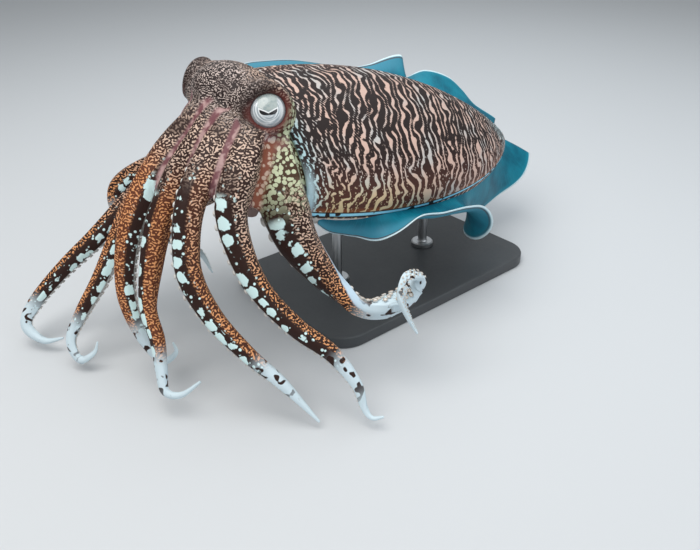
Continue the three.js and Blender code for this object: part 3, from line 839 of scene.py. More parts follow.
def arm_section(angle, width, keel):
    """How far the skin lies sideways and towards the suckers, in the arm's section."""
    sine, cosine = np.sin(angle), np.cos(angle)
    side = 0.5 * cosine
    at_edge = np.exp(-(((np.abs(cosine) - edge_at) / edge_reach) ** 2))
    side = side + edge_skin * np.sign(cosine) * at_edge * (sine > 0)
    ridge = keel * np.exp(-((cosine / keel_reach) ** 2))
    inner = oral_thickness * np.abs(sine) ** sucker_side_power
    inner = inner - groove * np.exp(-((cosine / groove_reach) ** 2))
    depth = np.where(sine > 0, inner, -(outer_thickness + ridge) * np.abs(sine))
    return side * width, depth * width


def arm_tube(arm, start, end, rows, columns, grow_at):
    """A closed tube of skin along an arm, swollen by grow_at(share) millimetres."""

    def place_at(around, along):
        share = start + (end - start) * np.clip(along * (1 + 2 * cap_part) - cap_part, 0, 1)
        place, tangent, inner, across, width = arm.at(share)
        angle = 2 * np.pi * around
        side, depth = arm_section(angle, width, arm.keel * (1 - share))
        grow = grow_at(share)
        scale = np.maximum(1 + grow / (0.4 * width), 0.02)
        cap = np.sqrt(1 - (1 - ramp(np.minimum(along, 1 - along), 0, cap_part)) ** 2)
        side, depth = side * scale * cap, depth * scale * cap
        return place + mm * (across * side[:, None] + inner * depth[:, None])

    return sheet_mesh(f"arm_{arm.name}_tube", columns, rows, place_at, True)


# Head: a broad head sunk in the front of the body, with a bulge round each eye, swollen lids,
# and the ring of arm roots with skin between them. Modelled rough, then drawn over as one skin.
skull_radii = [25, 35, 33]
face_reach = 26
face_radii = [34, 30, 30]
neck_centre = [-64, 95, -16]
neck_radii = [40, 47, 24]
socket_length = 36
socket_behind = 6
socket_flare = 3
socket_wall = 2.4
collar_reach = 2
collar_radii = [30, 64.5, 32.5]
bulge_reach = 33
bulge_radii = [22, 20, 21]
core_reach = 44
core_radii = [38, 24, 25]
eyeball_radius = 17
eye_gaze = [-0.115, 0.823, 0.557]
lid_radius = 12.7
lid_thickness = 2.6
lid_clearance = 0.6
lid_seat = math.sqrt((eyeball_radius + lid_clearance) ** 2 - lid_radius ** 2)
brow_thickness = 5.0
root_swell = 0.5
root_fall = 2.2
root_fade = 0.05
root_overlap = 0.06
web_share = 0.95
web_thickness = 4
web_cells = 24
rough_voxel = 1.7
rough_rounds = 10
skin_voxel = 1.2
skin_rounds = 4
tube_columns = 40
tube_rows = 146
root_rows = 60
webs = [("left_2", "left_3"), ("left_3", "left_4"), ("right_2", "right_3"), ("right_3", "right_4")]

head_place = posed(head_centre)


def from_head(axis, reach):
    """The place so many millimetres from the head's middle, ahead (0), to its left (1) or up (2)."""
    return head_place + head_axes[axis] * reach * mm


def lump(bm, centre, axes, radii):
    """An egg-shaped lump of clay added to a rough form."""
    turn = Matrix([[axes[k][r] for k in range(3)] for r in range(3)]).to_4x4()
    size = Matrix.Diagonal([*(r * mm for r in radii), 1])
    placed = Matrix.Translation(centre) @ turn @ size
    bmesh.ops.create_uvsphere(bm, u_segments=48, v_segments=32, radius=1, matrix=placed)


def baked(piece):
    """Applies a piece's modifiers to its mesh."""
    evaluated = piece.evaluated_get(bpy.context.evaluated_depsgraph_get())
    finished = bpy.data.meshes.new_from_object(evaluated)
    piece.modifiers.clear()
    old = piece.data
    piece.data = finished
    bpy.data.meshes.remove(old)
    return piece


def joined(pieces, name):
    """Puts several closed forms in one mesh."""
    bm = bmesh.new()
    for piece in pieces:
        bm.from_mesh(piece.data)
        bpy.data.objects.remove(piece)
    return object_of(bm, name)


def drawn_over(piece, voxel, rounds):
    """One even skin over a rough form, smoothed."""
    remesh = piece.modifiers.new("skin", "REMESH")
    remesh.mode = "VOXEL"
    remesh.voxel_size = voxel * mm
    smooth = piece.modifiers.new("smooth", "SMOOTH")
    smooth.factor = 0.5
    smooth.iterations = rounds
    return baked(piece)


def eye_frame(side):
    """The eyeball's centre and the way the eye looks."""
    centre = from_head(1, side * eye_reach)
    gaze = unit(np.array([eye_gaze[0], side * eye_gaze[1], eye_gaze[2]]) @ head_axes)
    return centre, gaze


def combined(piece, added_forms, operation):
    """Cuts closed forms out of a piece, or unites them with it."""
    collection = bpy.data.collections.new("forms")
    for form in added_forms:
        collection.objects.link(form)
    cut = piece.modifiers.new("cut", "BOOLEAN")
    cut.operation = operation
    cut.operand_type = "COLLECTION"
    cut.collection = collection
    cut.solver = "MANIFOLD"
    piece = baked(piece)
    for form in added_forms:
        bpy.data.objects.remove(form)
    bpy.data.collections.remove(collection)
    return piece


def socket_form(side):
    """The round opening in front of an eyeball, from behind the ball's middle outwards."""
    centre, gaze = eye_frame(side)
    turn = Vector(gaze).to_track_quat("Z", "Y").to_matrix().to_4x4()
    middle = Vector(centre + gaze * (socket_length / 2 - socket_behind) * mm)
    bm = bmesh.new()
    bmesh.ops.create_cone(
        bm, cap_ends=True, segments=64, radius1=lid_radius * mm, radius2=(lid_radius + socket_flare) * mm,
        depth=socket_length * mm, matrix=Matrix.Translation(middle) @ turn,
    )
    return object_of(bm, "socket_opening")


def lid_rim(side):
    """The swollen rim of skin round the eye, thicker above as a brow."""
    centre, gaze = eye_frame(side)
    above = unit(head_axes[2] * 0.75 - head_axes[0] * 0.5)
    above = unit(above - gaze * np.dot(above, gaze))
    beside = np.cross(above, gaze)

    def place_at(section, round_eye):
        turn = 2 * np.pi * round_eye
        roll = 2 * np.pi * section
        out = np.outer(np.cos(turn), above) + np.outer(np.sin(turn), beside)
        brow = np.clip(np.cos(turn), 0, 1) ** 2
        thick = lid_thickness + (brow_thickness - lid_thickness) * brow
        radius = lid_radius + thick * 0.35 + thick * np.cos(roll)
        height = lid_seat + thick * 0.1 + thick * np.sin(roll)
        return centre + mm * (out * radius[:, None] + gaze * height[:, None])

    return sheet_mesh("lid_rim", 20, 72, place_at, True)


def web_sheet(one, other):
    """The sheet of skin between the roots of two neighbouring arms, as a thick closed slab."""

    def place_at(section, along):
        place_one, tangent_one = one.at(web_share * along * one.crown)[:2]
        place_other, tangent_other = other.at(web_share * along * other.crown)[:2]
        face = unit(np.cross(place_other - place_one, tangent_one + tangent_other))
        out = 1 - np.abs(2 * section - 1)
        half = np.where(section < 0.5, 1, -1) * web_thickness / 2 * mm
        edge = np.minimum(out, 1 - out) > 1e-6
        inside = (np.minimum(along, 1 - along) > 1e-6) & edge
        offset = face * (half * inside)[:, None]
        return place_one + (place_other - place_one) * out[:, None] + offset

    return sheet_mesh("web", web_cells, web_cells, place_at, False)


bm = bmesh.new()
lump(bm, head_place, head_axes, skull_radii)
lump(bm, from_head(0, face_reach), head_axes, face_radii)
lump(bm, posed(neck_centre), [forward, left, dorsal], neck_radii)
lump(bm, tail + forward * (mantle_length + collar_reach) * mm, [forward, left, dorsal], collar_radii)
lump(bm, from_head(0, core_reach), head_axes, core_radii)
for side in (1, -1):
    lump(bm, from_head(1, side * bulge_reach), head_axes, bulge_radii)
    lump(bm, eye_frame(side)[0], head_axes, [eyeball_radius + socket_wall] * 3)
rough_parts = [object_of(bm, "rough_head")]
for arm in arm_set.values():
    swell = lambda share, crown=arm.crown: root_swell - root_fall * ramp(share, crown, root_fade)
    rough_parts.append(arm_tube(arm, 0.0, arm.crown + root_overlap, root_rows, tube_columns, swell))
for one, other in webs:
    rough_parts.append(web_sheet(arm_set[one], arm_set[other]))
rough_head = drawn_over(joined(rough_parts, "rough_head"), rough_voxel, rough_rounds)
rough_head = combined(rough_head, [socket_form(1), socket_form(-1)], "DIFFERENCE")
with_lids = joined([rough_head, lid_rim(1), lid_rim(-1)], "with_lids")
head_skin = drawn_over(with_lids, skin_voxel, skin_rounds)
head_skin.name = "head_and_arms_skin"

# The arms are joined to the ring of roots, each sunk in it as far as its root goes.
tube_start = 0.4
sunk_depth = 1.6
sunk_part = 0.04
tubes = []
for arm in arm_set.values():
    sunk = lambda share, crown=arm.crown: -sunk_depth * ramp(crown - share, 0, sunk_part)
    tubes.append(arm_tube(arm, tube_start * arm.crown, 1.0, tube_rows, tube_columns, sunk))
head_skin = combined(head_skin, tubes, "UNION")
head_skin.data.shade_smooth()

# The skin is pressed clear of the eyeballs.
socket_gap = 0.25
socket_skin = 0.8
points = points_of(head_skin)
outward = np.array([vertex.normal for vertex in head_skin.data.vertices])
for side in (1, -1):
    centre, gaze = eye_frame(side)
    away = points - centre
    distance = np.linalg.norm(away, axis=1)
    outer_skin = np.sum(away * outward, 1) > 0
    socket = (eyeball_radius + socket_gap + socket_skin * outer_skin) * mm
    inside = distance < socket
    points[inside] = centre + away[inside] / distance[inside, None] * socket[inside, None]
head_skin.data.vertices.foreach_set("co", points.astype(np.float32).ravel())
head_skin.data.update()


# Each place on the skin is told which arm it belongs to and where on it it lies: how far along, how
# far round in degrees from the outer face, and how far into the ring of roots.
arm_samples = 500
blotch_pitch = 10.6
blotch_row = 84
lowest_blotch_row = 62
blotch_turn = 62
band_width = 4.6


def smooth_step(values, low, high):
    """0 below low, 1 above high, smooth between."""
    t = ramp(values, low, high - low)
    return t * t * (3 - 2 * t)


names = list(arm_set)
numbers = np.array([int(name[-1]) for name in names])
count = len(points)
closeness = np.empty((len(names), count))
skin_distance = np.empty((len(names), count))
station = np.empty((len(names), count), int)
frames = []
for k, name in enumerate(names):
    arm = arm_set[name]
    facts = arm.at(np.linspace(0, 1, arm_samples))
    frames.append(facts)
    tree = KDTree(arm_samples)
    for i, place_of in enumerate(facts[0]):
        tree.insert(place_of, i)
    tree.balance()
    nearest = [tree.find(point)[1:] for point in points]
    station[k] = [found[0] for found in nearest]
    distance = np.array([found[1] for found in nearest]) / mm
    closeness[k] = distance / (facts[4][station[k]] / 2)
    skin_distance[k] = distance - facts[4][station[k]] / 2
best = np.argmin(closeness, 0)
ordered = np.sort(skin_distance, 0)
two_nearest = np.argsort(skin_distance, 0)[:2]
lowest_pair = (numbers[two_nearest].sum(0) == 7) * 1.0
between = (ordered[1] - ordered[0]) / (1 + 0.8 * lowest_pair)
off_arms = smooth_step(ordered[0], 12, 30)
share = station[best, np.arange(count)] / (arm_samples - 1)
turn = np.empty(count)
width = np.empty(count)
along = np.empty(count)
crown_share = np.empty(count)
for k, name in enumerate(names):
    arm = arm_set[name]
    mine = best == k
    place_at_arm, tangent, inner, across, widths = (facts[station[k, mine]] for facts in frames[k])
    away = points[mine] - place_at_arm
    side = np.sum(away * across, 1) * arm.mirror
    depth = np.sum(away * inner, 1)
    turn[mine] = np.arctan2(side, -depth)
    width[mine] = widths
    along[mine] = share[mine] * arm.length
    crown_share[mine] = share[mine] / arm.crown
number = numbers[best]
store(head_skin, "arm_lie", np.stack([along, turn * width / 2, 13.0 * best], 1))
store(head_skin, "turn", np.degrees(turn))
row_middle = np.where(number == 4, lowest_blotch_row, blotch_row)
across_row = (np.degrees(turn) - row_middle) / blotch_turn
store(head_skin, "blotch_row", np.stack([along / blotch_pitch, 0.25 + across_row, 7.0 * best], 1))
store(head_skin, "off_row", np.abs(across_row))
store(head_skin, "arm_share", share)
store(head_skin, "root", crown_share)
store(head_skin, "on_arm", smooth_step(crown_share, 0.5, 1.0))
store(head_skin, "upper_arm", (number == 1) * 1.0 + (number == 2) * 0.45)
store(head_skin, "lower_arm", (number == 4) * 1.0)
store(head_skin, "lowest_pair", lowest_pair)

# Where the head's own fields lie: the cheeks below and behind the eyes, the lids and brows, the
# soft bands of skin between the arms' roots, and the top of the head.
top = (points - head_place) @ head_axes[2] / mm
front = (points - head_place) @ head_axes[0] / mm
under_eye = 1 - smooth_step(top + np.clip(-front - 10, 0, None), -4, 6)
to_lowest = skin_distance[numbers == 4].min(0)
lowest = smooth_step(skin_distance[numbers < 4].min(0) - to_lowest, -1, 1.5)
beside = np.abs((points - head_place) @ head_axes[1]) / mm
under_eye = under_eye * smooth_step(beside + np.clip(front + 15, 0, 30), 14, 28)
store(head_skin, "cheek", lowest * (1 - smooth_step(crown_share, 0.9, 1.4)) * under_eye)
rim_distance = np.full(count, 1e3)
for side in (1, -1):
    centre, gaze = eye_frame(side)
    away = points - centre
    height = away @ gaze
    radial = np.linalg.norm(away - height[:, None] * gaze, axis=1)
    from_rim = np.hypot(radial - lid_radius * mm, height - lid_seat * mm) / mm
    rim_distance = np.minimum(rim_distance, from_rim)
store(head_skin, "from_rim", rim_distance)
store(head_skin, "brow", smooth_step(top, 3, 12) * (1 - smooth_step(rim_distance, 3, 10)))
band = np.exp(-((between / band_width) ** 2)) * (1 - smooth_step(crown_share, 0.8, 1.25))
band = band * (1 - off_arms) * smooth_step(rim_distance, 5, 9) * smooth_step(front, 2, 14)
store(head_skin, "band", band)
before_eye = (1 - smooth_step(rim_distance, 7, 17)) * smooth_step(front, 6, 16)
store(head_skin, "before_eye", before_eye * (1 - smooth_step(top, 0, 9)))
store(head_skin, "on_top", smooth_step(top, 5, 22) * (1 - smooth_step(front, 5, 30)))

dark_brown = (0.028, 0.011, 0.008)
maze_cream = (0.66, 0.48, 0.38)
maze_orange = (0.72, 0.33, 0.14)
mauve = (0.17, 0.065, 0.075)
blotch_white = (0.66, 0.86, 0.86)
cheek_green = (0.55, 0.60, 0.40)
sucker_side = (0.60, 0.58, 0.56)
edge_blue = (0.52, 0.66, 0.78)
lid_red = (0.10, 0.022, 0.018)
brow_black = (0.02, 0.009, 0.008)
maze_rust = (0.15, 0.042, 0.018)
tip_white = (0.62, 0.74, 0.8)
top_black = (0.020, 0.013, 0.012)
top_cream = (0.56, 0.46, 0.42)
cheek_brown = (0.06, 0.03, 0.014)
band_pink = (0.45, 0.29, 0.28)
warm_brown = (0.26, 0.085, 0.05)
warm_cream = (0.62, 0.46, 0.36)
eye_mauve = (0.24, 0.10, 0.11)
eye_cream = (0.66, 0.54, 0.52)
maze_scale = 330.0
top_maze_scale = 440.0
cheek_scale = 340.0
spot_scale = 260.0
patch_scale = 140.0
wobble_scale = 110.0
wobble_reach = 0.004
shade_scale = 55.0

flesh = Finish("head_and_arm_pattern", 0.5, 0.22)
place = flesh.place()
lie = flesh.attribute("arm_lie", "Vector")
turn_at = flesh.attribute("turn")
arm_share = flesh.attribute("arm_share")
upper_arm = flesh.attribute("upper_arm")
lower_arm = flesh.attribute("lower_arm")
bent_place = flesh.moved(place, flesh.noise(place, wobble_scale, output="Color"), wobble_reach)
lines_pale = flesh.step(flesh.maze(bent_place, maze_scale, 1.6), 0.525, 0.57)
fine_pale = flesh.step(flesh.maze(bent_place, top_maze_scale, 1.5), 0.53, 0.59)

# The arms: a labyrinth on the outer face, rows of big and small blotches on the dark flanks, a
# mauve inner flank with a pale edge, and tips that fade to white.
maze_light = flesh.layers(
    maze_cream, (upper_arm, maze_orange), (flesh.step(arm_share, 0.25, 0.5), maze_orange)
)
maze_dark = flesh.mix(flesh.times(upper_arm, 0.8), dark_brown, maze_rust)
outer_face = flesh.mix(lines_pale, maze_dark, maze_light)

row = flesh.attribute("blotch_row", "Vector")
row = flesh.moved(row, flesh.noise(row, 2.2, output="Color"), 0.5)
sockets = {"Vector": row, "Scale": 1.0, "Randomness": 0.5, "Exponent": 2.6}
big = flesh.node("ShaderNodeTexVoronoi", sockets, distance="MINKOWSKI").outputs["Distance"]
big_size = flesh.math("MULTIPLY_ADD", flesh.noise(row, 0.6, 0.0), 0.3, 0.21)
big = flesh.times(
    flesh.step(flesh.math("SUBTRACT", big, big_size), 0.02, -0.02),
    flesh.step(flesh.attribute("root"), 0.86, 0.94),
    flesh.step(flesh.attribute("off_row"), 0.5, 0.44),
    flesh.step(turn_at, 108, 103),
)
flank_at = flesh.math("MULTIPLY_ADD", upper_arm, -24.0, turn_at)
small = flesh.times(
    flesh.step(flesh.cells(lie, 1 / 3.6, 0.95), 0.32, 0.24),
    flesh.between(flank_at, 26, 84, 8),
    flesh.step(flesh.noise(lie, 0.22, 0.0), 0.42, 0.5),
)
tip_dark = flesh.times(
    flesh.step(flesh.noise(lie, 0.16, 1.0), 0.58, 0.63), flesh.step(arm_share, 0.95, 0.85)
)
tip_at = flesh.math("MULTIPLY_ADD", lower_arm, 0.22, arm_share)
arm_tone = flesh.layers(
    outer_face,
    (flesh.step(flank_at, 25, 42), dark_brown),
    (flesh.math("MAXIMUM", big, small), blotch_white),
    (flesh.step(turn_at, -48, -78), mauve),
    (flesh.between(turn_at, -112, -84, 5), edge_blue),
    (flesh.times(flesh.step(turn_at, -52, -66), lower_arm), edge_blue),
    (flesh.step(flesh.math("ABSOLUTE", turn_at), 100, 108), sucker_side),
    (flesh.step(tip_at, 0.73, 0.81), flesh.mix(tip_dark, tip_white, dark_brown)),
)

# The head: the same labyrinth, finer and darker on top, spotted cheeks and red lids.
top_tone = flesh.mix(fine_pale, top_black, top_cream)
shade = flesh.step(flesh.noise(place, shade_scale), 0.5, 0.72)
cheek_cells = flesh.step(flesh.cells(bent_place, cheek_scale, 0.9), 0.56, 0.46)
cheek_tone = flesh.mix(cheek_cells, cheek_brown, cheek_green)
patches = flesh.step(flesh.noise(place, patch_scale), 0.44, 0.6)
spots = flesh.step(flesh.cells(bent_place, spot_scale), 0.5, 0.36)
warm_tone = flesh.mix(spots, warm_brown, warm_cream)
pink_tone = flesh.mix(spots, eye_mauve, eye_cream)
band_tone = flesh.layers(mauve, (patches, band_pink), (flesh.attribute("lowest_pair"), warm_tone))
colour = flesh.layers(
    dark_brown,
    (lines_pale, maze_cream),
    (flesh.attribute("on_top"), top_tone),
    (flesh.times(shade, 0.7), dark_brown),
    (flesh.attribute("cheek"), cheek_tone),
    (flesh.attribute("before_eye"), pink_tone),
    (flesh.attribute("on_arm"), arm_tone),
    (flesh.step(flesh.attribute("band"), 0.25, 0.85), band_tone),
    (flesh.times(flesh.attribute("brow"), 0.75), brow_black),
    (flesh.step(flesh.attribute("from_rim"), 4.6, 2.0), lid_red),
)
flesh.finish(head_skin, colour, flesh.bump(flesh.noise(place, grain_scale, 3.0), grain_relief, 0.5))
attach(head_skin, "root")
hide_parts("head", "arm_crown")
for name in names:
    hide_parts(*(f"arm_{name}_{part}" for part in ("root", "middle", "tip")))

# Suckers: four staggered rows of small stalked cups under each arm, smaller towards its tip.
# One cup is turned on its axis and repeated along the rows, each a little different in size.
cup_profile = [
    # radius, height
    (0.0, -0.9), (0.5, -0.9), (0.42, 0.0), (0.85, 0.35), (1.0, 0.75), (0.92, 1.0), (0.72, 1.0),
    (0.55, 0.75), (0.0, 0.6),
]
cup_sides = 12
rows_of_suckers = (-0.33, -0.12, 0.12, 0.33)
cup_share = 0.098
smallest_cup = 0.3
row_step = 0.27
row_gap = 0.9
sucker_start = 0.35
sucker_end = 0.985
size_spread = 0.12
cup_lean = 1.3
cup_cream = (0.62, 0.6, 0.56)
cup_white = (0.8, 0.8, 0.78)
horn_brown = (0.42, 0.3, 0.2)
draw = np.random.default_rng(11)


def turned(profile, x, y, steps):
    """A closed form turned from a profile of radius and height on the upright axis through x, y."""
    bm = bmesh.new()
    drawn = [bm.verts.new((x + radius, y, height)) for radius, height in profile]
    for one, other in zip(drawn, drawn[1:]):
        bm.edges.new((one, other))
    bmesh.ops.spin(
        bm, geom=bm.verts[:] + bm.edges[:], cent=(x, y, 0), axis=(0, 0, 1),
        angle=2 * math.pi, steps=steps, use_merge=True,
    )
    bmesh.ops.remove_doubles(bm, verts=bm.verts, dist=1e-6)
    bmesh.ops.recalc_face_normals(bm, faces=bm.faces)
    return bm


bm = turned(cup_profile, 0, 0, cup_sides)
bm.verts.index_update()
cup_points = np.array([vertex.co for vertex in bm.verts])
cup_faces = [[vertex.index for vertex in face.verts] for face in bm.faces]
bm.free()


def sucker_places(arm):
    """Place, outward direction, forward direction and radius (mm) of each cup on one arm."""
    found = []
    share = sucker_start * arm.crown
    stagger = 0
    while share < sucker_end:
        place, tangent, inner, across, width = (facts[0] for facts in arm.at([share]))
        for row, offset in enumerate(rows_of_suckers):
            if (row + stagger) % 2:
                continue
            angle = math.acos(np.clip(offset * 2, -1, 1))
            side, depth = arm_section(np.array([angle]), width, 0)
            lean = unit(inner + across * offset * cup_lean)
            radius = max(cup_share * width, smallest_cup) * (1 + size_spread * draw.uniform(-1, 1))
            at = place + mm * (across * side[0] + inner * depth[0])
            found.append((at, lean, tangent, radius))
        share += (row_step * width / 2 + row_gap) / arm.length
        stagger += 1
    return found


for side_name in ("left", "right"):
    copies, faces = [], []
    for name in (name for name in names if name.startswith(side_name)):
        for at, lean, tangent, radius in sucker_places(arm_set[name]):
            beside = unit(np.cross(lean, tangent))
            ahead = np.cross(lean, beside)
            base = len(copies) * len(cup_points)
            copies.append(at + (cup_points @ np.array([beside, ahead, lean])) * radius * mm)
            faces.extend([[base + v for v in face] for face in cup_faces])
    sucker_mesh = bpy.data.meshes.new(f"suckers_{side_name}")
    sucker_mesh.from_pydata(np.vstack(copies).tolist(), [], faces)
    suckers = bpy.data.objects.new(f"suckers_{side_name}", sucker_mesh)
    bpy.context.scene.collection.objects.link(suckers)
    sucker_mesh.shade_smooth()
    store(suckers, "cup_height", np.tile(cup_points[:, 2], len(copies)))
    store(suckers, "cup_radius", np.tile(np.hypot(cup_points[:, 0], cup_points[:, 1]), len(copies)))
    cups = Finish(f"suckers_{side_name}_horn", 0.35)
    on_rim = cups.between(cups.attribute("cup_radius"), 0.65, 1.0, 0.1)
    rim = cups.times(cups.step(cups.attribute("cup_height"), 0.8, 1.0), on_rim)
    tone = cups.layers(cup_cream, (cups.noise(cups.place(), 300.0), cup_white), (rim, horn_brown))
    cups.finish(suckers, tone)
    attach(suckers, "root")

# Eyes: a silvery ball in each socket, with a drooping fold across it and the pupil, a dark narrow
# W, below. The clear front of the eye is wet.
pupil_half = 5.7
pupil_dip = 2.8
pupil_floor = 3.8
fold_edge = 0.7
ring_centre = (0, 0, 15)
silver_dark = (0.30, 0.36, 0.40)
silver_light = (0.82, 0.85, 0.86)
silver_rim = (0.16, 0.17, 0.19)
fold_dark = (0.22, 0.30, 0.32)
fold_light = (0.50, 0.54, 0.50)
fold_white = (0.92, 0.94, 0.94)
pupil_black = (0.004, 0.004, 0.005)

for side_name, side in (("left", 1), ("right", -1)):
    centre, gaze = eye_frame(side)
    above = unit(np.array([0.0, 0.0, 1.0]) - gaze * gaze[2])
    beside = np.cross(above, gaze)
    turn_ball = Matrix([[beside[k], above[k], gaze[k]] for k in range(3)]).to_4x4()
    radius = Matrix.Diagonal([eyeball_radius * mm] * 3 + [1])
    placed = Matrix.Translation(centre) @ turn_ball @ radius
    bm = bmesh.new()
    bmesh.ops.create_uvsphere(bm, u_segments=96, v_segments=64, radius=1, matrix=placed)
    eyeball = object_of(bm, f"eye_{side_name}_ball")
    eyeball.data.shade_smooth()
    away = (points_of(eyeball) - centre) / mm
    look = np.stack([away @ beside * side, away @ above, away @ gaze], 1)
    store(eyeball, "look", look)
    eye = Finish(f"eye_{side_name}_silver", 0.25, 0.5)
    eye.shader.inputs["Coat Weight"].default_value = 0.8
    eye.shader.inputs["Coat Roughness"].default_value = 0.08
    look_at = eye.attribute("look", "Vector")
    x, y = eye.node("ShaderNodeSeparateXYZ", {0: look_at}).outputs[:2]
    reach = eye.math("DIVIDE", eye.math("ABSOLUTE", x), pupil_half)
    v_line = eye.times(eye.math("SUBTRACT", reach, 1.0), pupil_dip)
    rounding = eye.math("SUBTRACT", 1.0, eye.math("POWER", eye.times(reach, 0.97), 4.0))
    floor_line = eye.times(eye.math("SQRT", eye.math("MAXIMUM", rounding, 0.0)), -pupil_floor)
    below_v = eye.step(eye.math("SUBTRACT", y, v_line), 0.15, -0.15)
    above_floor = eye.step(eye.math("SUBTRACT", y, floor_line), -0.15, 0.15)
    within = eye.step(reach, 1.03, 0.97)
    pupil = eye.times(below_v, above_floor, within)
    over = eye.math("SUBTRACT", y, v_line)
    fold_line = eye.times(eye.between(over, 0.0, fold_edge, 0.15), eye.step(reach, 1.15, 1.05))
    fold = eye.times(eye.step(over, fold_edge - 0.1, fold_edge + 0.4), eye.step(reach, 1.2, 1.0))
    from_middle = eye.node("ShaderNodeVectorMath", {0: look_at, 1: ring_centre}, operation="DISTANCE")
    from_middle = from_middle.outputs["Value"]
    ring_place = eye.node("ShaderNodeCombineXYZ", {0: from_middle, 1: eye.times(x, 0.12)}).outputs[0]
    rings = eye.noise(ring_place, 1.1, 3.0)
    tone = eye.layers(
        silver_dark,
        (eye.step(rings, 0.35, 0.65), silver_light),
        (eye.step(from_middle, 8.5, 12.5), silver_rim),
        (fold, eye.mix(eye.noise(look_at, 0.5), fold_dark, fold_light)),
        (fold_line, fold_white),
        (pupil, pupil_black),
    )
    eye.finish(eyeball, tone)
    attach(eyeball, "root")
    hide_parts(f"eye_{side_name}")

# Mouth: round folded lips in the middle of the ring of arms, with the dark tip of the beak.
mouth_reach = 80
mouth_radius = 11
mouth_length = 26
lip_folds = 18
lip_fold_depth = 0.07
lip_outer_part = 0.75
lip_roll = 0.86
lip_narrowing = 0.35
lip_turn_in = 7
beak_length = 6
beak_radius = 3.4
lip_brown = (0.62, 0.44, 0.36)
lip_pink = (0.80, 0.66, 0.58)
horn_black = (0.012, 0.008, 0.006)
horn_edge = (0.07, 0.035, 0.02)


def lip_place(around, run):
    """From the back over the outer lip into the mouth's opening."""
    turn = 2 * np.pi * around
    lobes = 1 + lip_fold_depth * np.cos(lip_folds * turn) * smooth_step(run, 0.35, 0.6)
    polar = ramp(run, 0, lip_outer_part) * lip_roll * np.pi
    out = np.sin(polar) * mouth_radius
    ahead = -np.cos(polar) * mouth_length / 2
    inward = smooth_step(run, lip_outer_part, 1.0)
    out = out * (1 - inward * lip_narrowing) * lobes
    ahead = ahead - inward * lip_turn_in
    out = np.where(run >= 1, 0, out)
    sideways = np.outer(np.cos(turn), head_axes[1]) + np.outer(np.sin(turn), head_axes[2])
    return from_head(0, mouth_reach) + mm * (sideways * out[:, None] + np.outer(ahead, head_axes[0]))


lips = sheet_mesh("mouth_lips", 144, 60, lip_place, True)
lip = Finish("lip_skin_folds", 0.4)
lip_tone = lip.mix(lip.noise(lip.place(), 260.0, 3.0), lip_brown, lip_pink)
lip.finish(lips, lip_tone, lip.bump(lip.noise(lip.place(), 700.0, 3.0), 0.0004, 0.6))
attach(lips, "root")
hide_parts("mouth")

bm = bmesh.new()
beak_at = from_head(0, mouth_reach + mouth_length / 2 - beak_length)
lump(bm, beak_at, head_axes, [beak_length, beak_radius, beak_radius])
beak = object_of(bm, "mouth_beak")
beak.data.shade_smooth()
horn = Finish("beak_horn", 0.25)
horn.finish(beak, horn.mix(horn.noise(horn.place(), 400.0), horn_black, horn_edge))
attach(beak, "root")

# Funnel: the short nozzle under the head through which the animal jets, a flattened tube of soft
# freckled skin with its rim turned in to the bore. Its skin tones are painted darker than their own
# colour, as painted shade where the funnel lies under the head between the arms.
funnel_root = [-68, 84, -36]
funnel_end = [-78, 48, -52]
funnel_radii = [15, 13, 7.5]
funnel_bore = 4.5
funnel_bore_depth = 0.4
funnel_outer_part = 0.7
funnel_rim_part = 0.08
funnel_bore_part = 0.18
# The two skin tones are darkened as painted shade under the head; the freckles are the skin's own.
funnel_shaded_brown = (0.20, 0.13, 0.12)
funnel_shaded_pink = (0.36, 0.25, 0.22)
funnel_freckle = (0.07, 0.03, 0.022)
funnel_start = posed(funnel_root)
funnel_way = posed(funnel_end) - funnel_start
funnel_length = np.linalg.norm(funnel_way) / mm
funnel_way = unit(funnel_way)
funnel_side = unit(np.cross(funnel_way, upwards))
funnel_top = np.cross(funnel_side, funnel_way)


def funnel_place(around, run):
    """From the root along the outside, over the rim and back into the bore."""
    turn = 2 * np.pi * around
    outside = ramp(run, 0, funnel_outer_part)
    radius = np.interp(outside, [0, 0.5, 1], funnel_radii)
    ahead = outside * funnel_length
    curl = ramp(run, funnel_outer_part, funnel_rim_part) * np.pi
    wall = (funnel_radii[2] - funnel_bore) / 2
    radius = radius - wall * (1 - np.cos(curl))
    ahead = ahead + wall * np.sin(curl)
    back = ramp(run, funnel_outer_part + funnel_rim_part, funnel_bore_part)
    ahead = ahead - back * funnel_length * funnel_bore_depth
    radius = np.where((run <= 0) | (run >= 1), 0, radius)
    ring = np.outer(np.cos(turn), funnel_side) + np.outer(np.sin(turn), funnel_top)
    return funnel_start + mm * (ring * radius[:, None] + np.outer(ahead, funnel_way))


funnel = sheet_mesh("funnel_skin", 64, 60, funnel_place, True)
nozzle = Finish("funnel_skin_painted_shade", 0.42)
speckle = nozzle.step(nozzle.cells(nozzle.place(), 420.0), 0.25, 0.15)
# The skin's tone, darkened throughout as painted shade, with its own freckles laid over it.
nozzle_shaded_tone = nozzle.mix(nozzle.noise(nozzle.place(), 90.0, 3.0), funnel_shaded_brown, funnel_shaded_pink)
nozzle_shaded_tone = nozzle.mix(nozzle.times(speckle, 0.6), nozzle_shaded_tone, funnel_freckle)
nozzle.finish(funnel, nozzle_shaded_tone, nozzle.bump(nozzle.noise(nozzle.place(), 700.0, 3.0), 0.0003, 0.5))
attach(funnel, "root")
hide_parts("funnel")

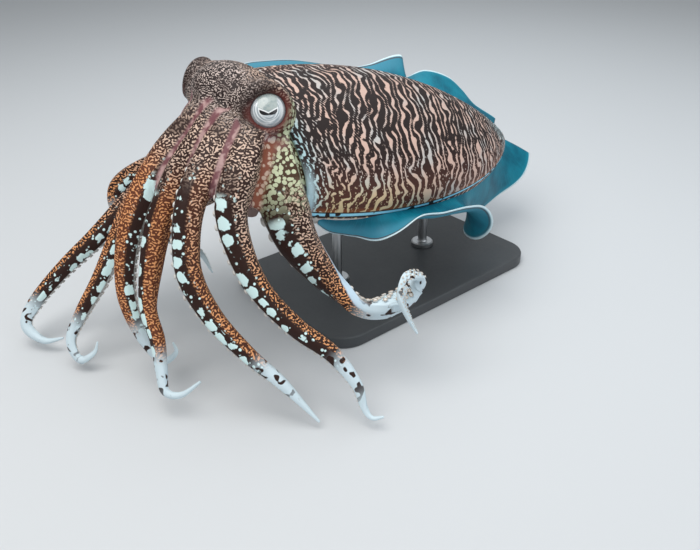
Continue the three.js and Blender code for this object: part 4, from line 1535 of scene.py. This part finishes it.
# Stand: a flat painted base with round corners, and two turned steel rods that stand in it on
# flanges and reach up into the body.
base_corner = 24
base_edge = 1.5
rod_radius = 4
flange_radius = 10
flange_height = 4
rod_sides = 48
lacquer_dark = (0.05, 0.055, 0.06)
lacquer_light = (0.075, 0.08, 0.085)
steel_dark = (0.42, 0.43, 0.44)
steel_light = (0.6, 0.61, 0.62)
base_low, base_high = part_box("stand_base")
bm = bmesh.new()
bmesh.ops.create_cube(bm, size=1)
bmesh.ops.scale(bm, vec=base_high - base_low, verts=bm.verts)
bmesh.ops.translate(bm, vec=(base_high + base_low) / 2, verts=bm.verts)
upright = [edge for edge in bm.edges if abs(edge.verts[0].co.z - edge.verts[1].co.z) > 0.001]
bmesh.ops.bevel(
    bm, geom=upright, offset=base_corner * mm, segments=20, profile=0.5, affect="EDGES", material=-1
)
rims = [edge for edge in bm.edges if abs(edge.verts[0].co.z - edge.verts[1].co.z) < 1e-6]
bmesh.ops.bevel(
    bm, geom=rims, offset=base_edge * mm, segments=4, profile=0.5, affect="EDGES", material=-1
)
base = object_of(bm, "stand_base_plate")
lacquer = Finish("stand_lacquer", 0.45)
lacquer_tone = lacquer.mix(lacquer.noise(lacquer.place(), 40.0, 4.0), lacquer_dark, lacquer_light)
lacquer_rough = lacquer.math("MULTIPLY_ADD", lacquer.noise(lacquer.place(), 300.0), 0.15, 0.38)
lacquer_relief = lacquer.bump(lacquer.noise(lacquer.place(), 1500.0), 0.0001, 0.3)
lacquer.finish(base, lacquer_tone, lacquer_relief, lacquer_rough)
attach(base, "root")
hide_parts("stand_base")

for rod_name in ("front", "rear"):
    low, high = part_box(f"stand_rod_{rod_name}")
    middle = (low + high) / 2
    flange_top = low.z + flange_height * mm
    profile = [
        (0, low.z), (flange_radius * mm, low.z), (flange_radius * mm, low.z + (flange_height - 1) * mm),
        ((flange_radius - 1) * mm, flange_top), ((rod_radius + 0.5) * mm, flange_top),
        (rod_radius * mm, low.z + (flange_height + 1) * mm), (rod_radius * mm, high.z), (0, high.z),
    ]
    rod = object_of(turned(profile, middle.x, middle.y, rod_sides), f"stand_rod_{rod_name}_turned")
    steel = Finish(f"stand_steel_{rod_name}", 0.3)
    steel.shader.inputs["Metallic"].default_value = 1.0
    along_rod = steel.node("ShaderNodeMapping", {"Vector": steel.place(), "Scale": (900, 900, 30)})
    brushed = steel.noise(along_rod.outputs[0], 1.0, 3.0)
    steel_rough = steel.math("MULTIPLY_ADD", brushed, 0.2, 0.22)
    steel.finish(rod, steel.mix(brushed, steel_dark, steel_light), None, steel_rough)
    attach(rod, "root")
    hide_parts(f"stand_rod_{rod_name}")

low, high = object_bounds()
